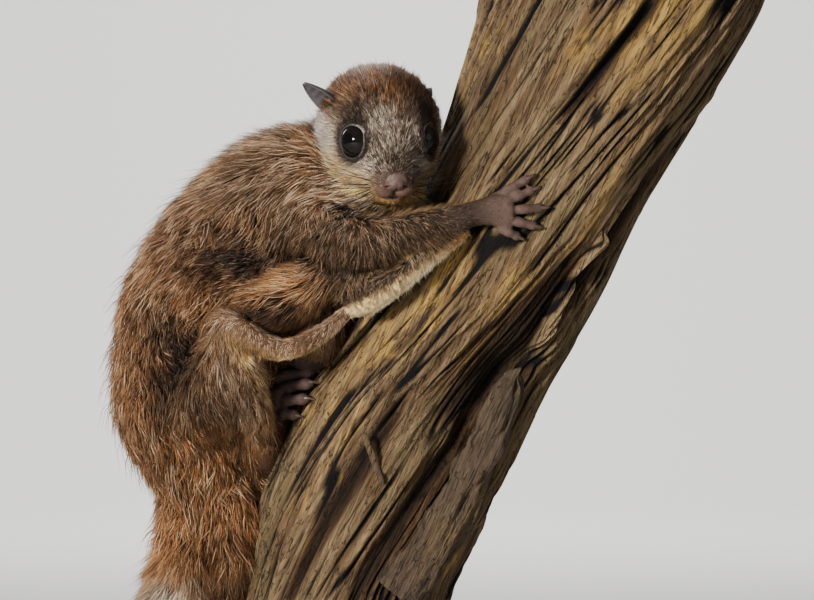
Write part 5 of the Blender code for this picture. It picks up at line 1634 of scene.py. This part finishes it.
def make_perch():
    """The trunk's side with its relief, and both sawn ends, as one lofted surface, with its splinter and chip."""
    front, levels, cap = 360, 164, 9
    turn = np.concatenate([
        np.linspace(-0.2, np.pi + 0.2, front, endpoint=False),
        np.linspace(np.pi + 0.2, 2 * np.pi - 0.2, 120, endpoint=False),
    ])
    sides = len(turn)
    low, high = TRUNK[0][0], TRUNK[-1][0]
    inner = np.linspace(0.05, 0.985, cap)
    heights = np.concatenate([np.full(cap, low), np.linspace(low, high, levels), np.full(cap, high)])
    reach = np.concatenate([inner, np.ones(levels), inner[::-1]])
    a, z = np.broadcast_to(turn, (len(heights), sides)), np.repeat(heights[:, None], sides, 1)
    edge = np.minimum(smoothstep(low, low + 3, z), 1 - smoothstep(high - 3, high, z))
    out, maps = trunk_surface(a, z, edge)
    section = np.array([trunk_section(h)[0] for h in heights])
    middle, wide, deep = section.T[:, :, None]
    share = reach[:, None]
    spur = np.array(SPLINTER)
    sideways = middle - wide * np.cos(a) - np.interp(z, spur[:, 2], spur[:, 0])
    near = (np.sin(a) > 0) * smoothstep(spur[0, 2] - 12, spur[0, 2] + 6, z) * (1 - smoothstep(388.0, 404.0, z))
    out = out - 6.0 * near * edge * np.exp(-((sideways / 15.0) ** 2))
    # Painted shade in the groove beside the splinter, laid into the hollow map so that it takes the dark colour of the
    # recess
    shade = near * np.exp(-(((sideways + 2.0) / 19.0) ** 4)) * (0.8 + 0.5 * maps[..., 3])
    maps[..., 0] = np.maximum(maps[..., 0], shade)
    points = np.stack([middle - (wide + out) * share * np.cos(a), -(deep + out) * share * np.sin(a), z], -1)
    sawn = np.where(share < 0.99, share, -1.0) * np.ones_like(a)
    shells = [loft("trunk", points), loft("spur", spur_rings()), loft("chip", chip_rings())]
    obj = joined(shells, "perch_wood")
    obj.data.transform(Matrix.Scale(MM, 4))
    places = points_of(obj) / MM
    extra = len(places) - a.size
    plain = np.zeros((extra, 5))
    plain[:, 2] = 0.8
    plain[:, 3] = noise(places[a.size:] / (1.5, 1.5, 20.0), 74)
    maps = np.concatenate([maps.reshape(-1, 5), plain])
    sawn = np.concatenate([sawn.ravel(), np.full(extra, -1.0)])
    sawn[a.size:a.size + 2] = 0.02
    colours = wood_colours(places, maps)
    colours[a.size:] += (np.array(WOOD["spur"]) - colours[a.size:]) * 0.8
    paint(obj, np.clip(colours, 0.004, 0.9))
    obj.data.materials.append(perch_material())
    obj.data.materials.append(sawn_material())
    corners = triangles_of(obj)
    obj.data.polygons.foreach_set("material_index", (sawn[corners] > 0).all(1).astype(np.int32))
    return kept(obj, "perch_wood", "perch_trunk")


def thin_lines(tree, scale, stretch, width):
    """0 along the thin wandering lines where a stretched noise crosses its middle value, and 1 between them."""
    crossing = grain(tree, scale, (1.0, 1.0, stretch), -TRUNK_LEAN, 2.0)
    gap = node(tree, "Math", {0: crossing, 1: 0.5}, operation="SUBTRACT").outputs["Value"]
    gap = node(tree, "Math", {0: gap}, operation="ABSOLUTE").outputs["Value"]
    return node(tree, "MapRange", {"Value": gap, "From Max": width}, interpolation_type="SMOOTHSTEP").outputs["Result"]


def perch_material():
    """Long grain with short broken flakes and thin dark lines over it, in colour and in height."""
    made, tree, shader = material("weathered_wood", rough=0.85, specular=0.2)
    long = grain(tree, 1500.0, (1.0, 1.0, 0.035), -TRUNK_LEAN, 6.0, 0.65)
    short = grain(tree, 900.0, (1.0, 1.0, 0.20), -TRUNK_LEAN, 8.0, 0.75)
    both = node(tree, "Math", {0: long, 1: short}, operation="ADD").outputs["Value"]
    half = node(tree, "Math", {0: both, 1: 0.5}, operation="MULTIPLY").outputs["Value"]
    fine, wide = thin_lines(tree, 420.0, 0.030, 0.020), thin_lines(tree, 170.0, 0.030, 0.012)
    lines = node(tree, "Math", {0: fine, 1: wide}, operation="MULTIPLY").outputs["Value"]
    lines = node(tree, "MapRange", {"Value": lines, "To Min": 0.25}).outputs["Result"]
    tone = node(tree, "MapRange", {"Value": half, "To Min": -0.9, "To Max": 2.9}).outputs["Result"]
    tone = node(tree, "Math", {0: tone, 1: lines}, operation="MULTIPLY").outputs["Value"]
    painted(tree, shader, tone, 0.0, 1.0)
    height = node(tree, "Math", {0: half, 1: lines}, operation="MULTIPLY").outputs["Value"]
    bumped(tree, shader, height, 0.0040)
    return made


def sawn_material():
    """The trunk's sawn ends: growth rings round the middle of the upper one."""
    made, tree, shader = material("sawn_wood", rough=0.75, specular=0.25)
    place = node(tree, "TexCoord").outputs["Object"]
    middle = node(tree, "Mapping", {"Vector": place, "Location": (-TRUNK[-1][1] * MM, 0.0, 0.0)}).outputs["Vector"]
    inputs = {"Vector": middle, "Scale": 48.0, "Distortion": 9.0, "Detail": 5.0, "Detail Scale": 0.35}
    rings = node(tree, "TexWave", inputs, wave_type="RINGS", rings_direction="Z").outputs["Fac"]
    ramp = node(tree, "ValToRGB", {"Fac": rings})
    ramp.color_ramp.elements[0].color = (0.170, 0.105, 0.055, 1)
    ramp.color_ramp.elements[1].color = (0.290, 0.190, 0.105, 1)
    tree.links.new(ramp.outputs["Color"], shader.inputs["Base Color"])
    bumped(tree, shader, grain(tree, 1500.0, detail=4.0), 0.0003)
    return made


# Stand
def dress(names, made):
    for name in names:
        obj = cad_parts[name]
        obj.data.materials.clear()
        obj.data.materials.append(made)


def walnut_material():
    made, tree, shader = material("walnut", rough=0.42, specular=0.4, coat=0.25)
    shader.inputs["Coat Roughness"].default_value = 0.25
    streak = grain(tree, 260.0, (0.05, 1.0, 1.0), 0.0, 5.0)
    ramp = node(tree, "ValToRGB", {"Fac": streak})
    ramp.color_ramp.elements[0].position, ramp.color_ramp.elements[1].position = 0.30, 0.72
    ramp.color_ramp.elements[0].color = (0.030, 0.014, 0.007, 1)
    ramp.color_ramp.elements[1].color = (0.150, 0.075, 0.036, 1)
    tree.links.new(ramp.outputs["Color"], shader.inputs["Base Color"])
    bumped(tree, shader, streak, 0.0002, 0.5)
    return made


def steel_material():
    made, tree, shader = material("brushed_steel", (0.42, 0.41, 0.40), 0.32, 0.5, 1.0)
    streak = grain(tree, 1500.0, (1.0, 1.0, 0.03), 0.0, 3.0)
    rough = node(tree, "MapRange", {"Value": streak, "To Min": 0.22, "To Max": 0.42}).outputs["Result"]
    tree.links.new(rough, shader.inputs["Roughness"])
    bumped(tree, shader, streak, 0.00005, 0.4)
    return made


# Stage, light and camera
CAMERA_HEIGHT = 0.422
CAMERA_AIM = 0.001
CAMERA_DISTANCE = 2.0
VIEW_WIDTH = 0.407
SENSOR = 36.0


def make_stage():
    """A pale floor that curves up into a backdrop on the far side."""
    bend, back, reach, width = 2.4, 8.4, 8.0, 9.0
    profile = [(-reach, 0.0), (back - bend, 0.0)]
    for k in range(1, 13):
        turn = math.pi / 2 * k / 12
        profile.append((back - bend + bend * math.sin(turn), bend - bend * math.cos(turn)))
    profile.append((back, 7.0))
    points = [(x, y, z) for y, z in profile for x in (-width, width)]
    faces = [(2 * k, 2 * k + 1, 2 * k + 3, 2 * k + 2) for k in range(len(profile) - 1)]
    obj = mesh_from("floor", points, faces, 1.0)
    made, tree, shader = material("plain_floor", (0.72, 0.71, 0.69), 0.8, 0.2)
    bumped(tree, shader, grain(tree, 40.0), 0.0005, 0.2)
    obj.data.materials.append(made)


def area_light(name, place, target, size, power, colour=(1, 1, 1)):
    light = bpy.data.lights.new(name, "AREA")
    light.shape = "DISK"
    light.size = size
    light.energy = power
    light.color = colour
    obj = bpy.data.objects.new(name, light)
    bpy.context.scene.collection.objects.link(obj)
    obj.location = place
    obj.rotation_euler = (Vector(target) - Vector(place)).to_track_quat("-Z", "Y").to_euler()


def make_lights():
    middle = (0.0, 0.0, 0.42)
    area_light("key", (-1.30, -1.85, 0.82), middle, 0.40, 116.0, (1.0, 0.96, 0.91))
    area_light("fill", (1.6, -1.4, 0.9), middle, 1.4, 5.0, (0.95, 0.97, 1.0))
    area_light("rim", (-0.9, 1.3, 1.3), middle, 0.8, 17.0)
    area_light("back", (0.9, 1.7, 0.9), middle, 1.2, 10.0)
    area_light("backdrop", (0.0, 4.6, 3.6), (0.0, 8.0, 0.8), 3.0, 330.0)
    world = bpy.data.worlds.new("studio")
    bpy.context.scene.world = world
    world.use_nodes = True
    world.node_tree.nodes["Background"].inputs["Color"].default_value = (0.86, 0.87, 0.90, 1.0)
    world.node_tree.nodes["Background"].inputs["Strength"].default_value = 0.23


def make_camera():
    lens = bpy.data.cameras.new("camera")
    lens.sensor_width = SENSOR
    lens.lens = SENSOR * CAMERA_DISTANCE / VIEW_WIDTH
    lens.clip_end = 30.0
    camera = bpy.data.objects.new("camera", lens)
    bpy.context.scene.collection.objects.link(camera)
    camera.location = (CAMERA_AIM, -CAMERA_DISTANCE, CAMERA_HEIGHT)
    camera.rotation_euler = (math.pi / 2, 0.0, 0.0)
    bpy.context.scene.camera = camera


EYE_LOOK, EAR_LOOK, CLAW_LOOK = eye_material(), ear_material(), claw_material()
make_coat()
finish_skin()
for label, side in (("right", 1), ("left", -1)):
    make_eye(label, side)
    make_ear(label, side)
    make_claws(label, -side)
    make_whiskers(label, side, 14 if side > 0 else 12)
make_perch()
dress(["stand_base"], walnut_material())
dress(["stand_rod_left", "stand_rod_right"], steel_material())
make_stage()
make_lights()
make_camera()

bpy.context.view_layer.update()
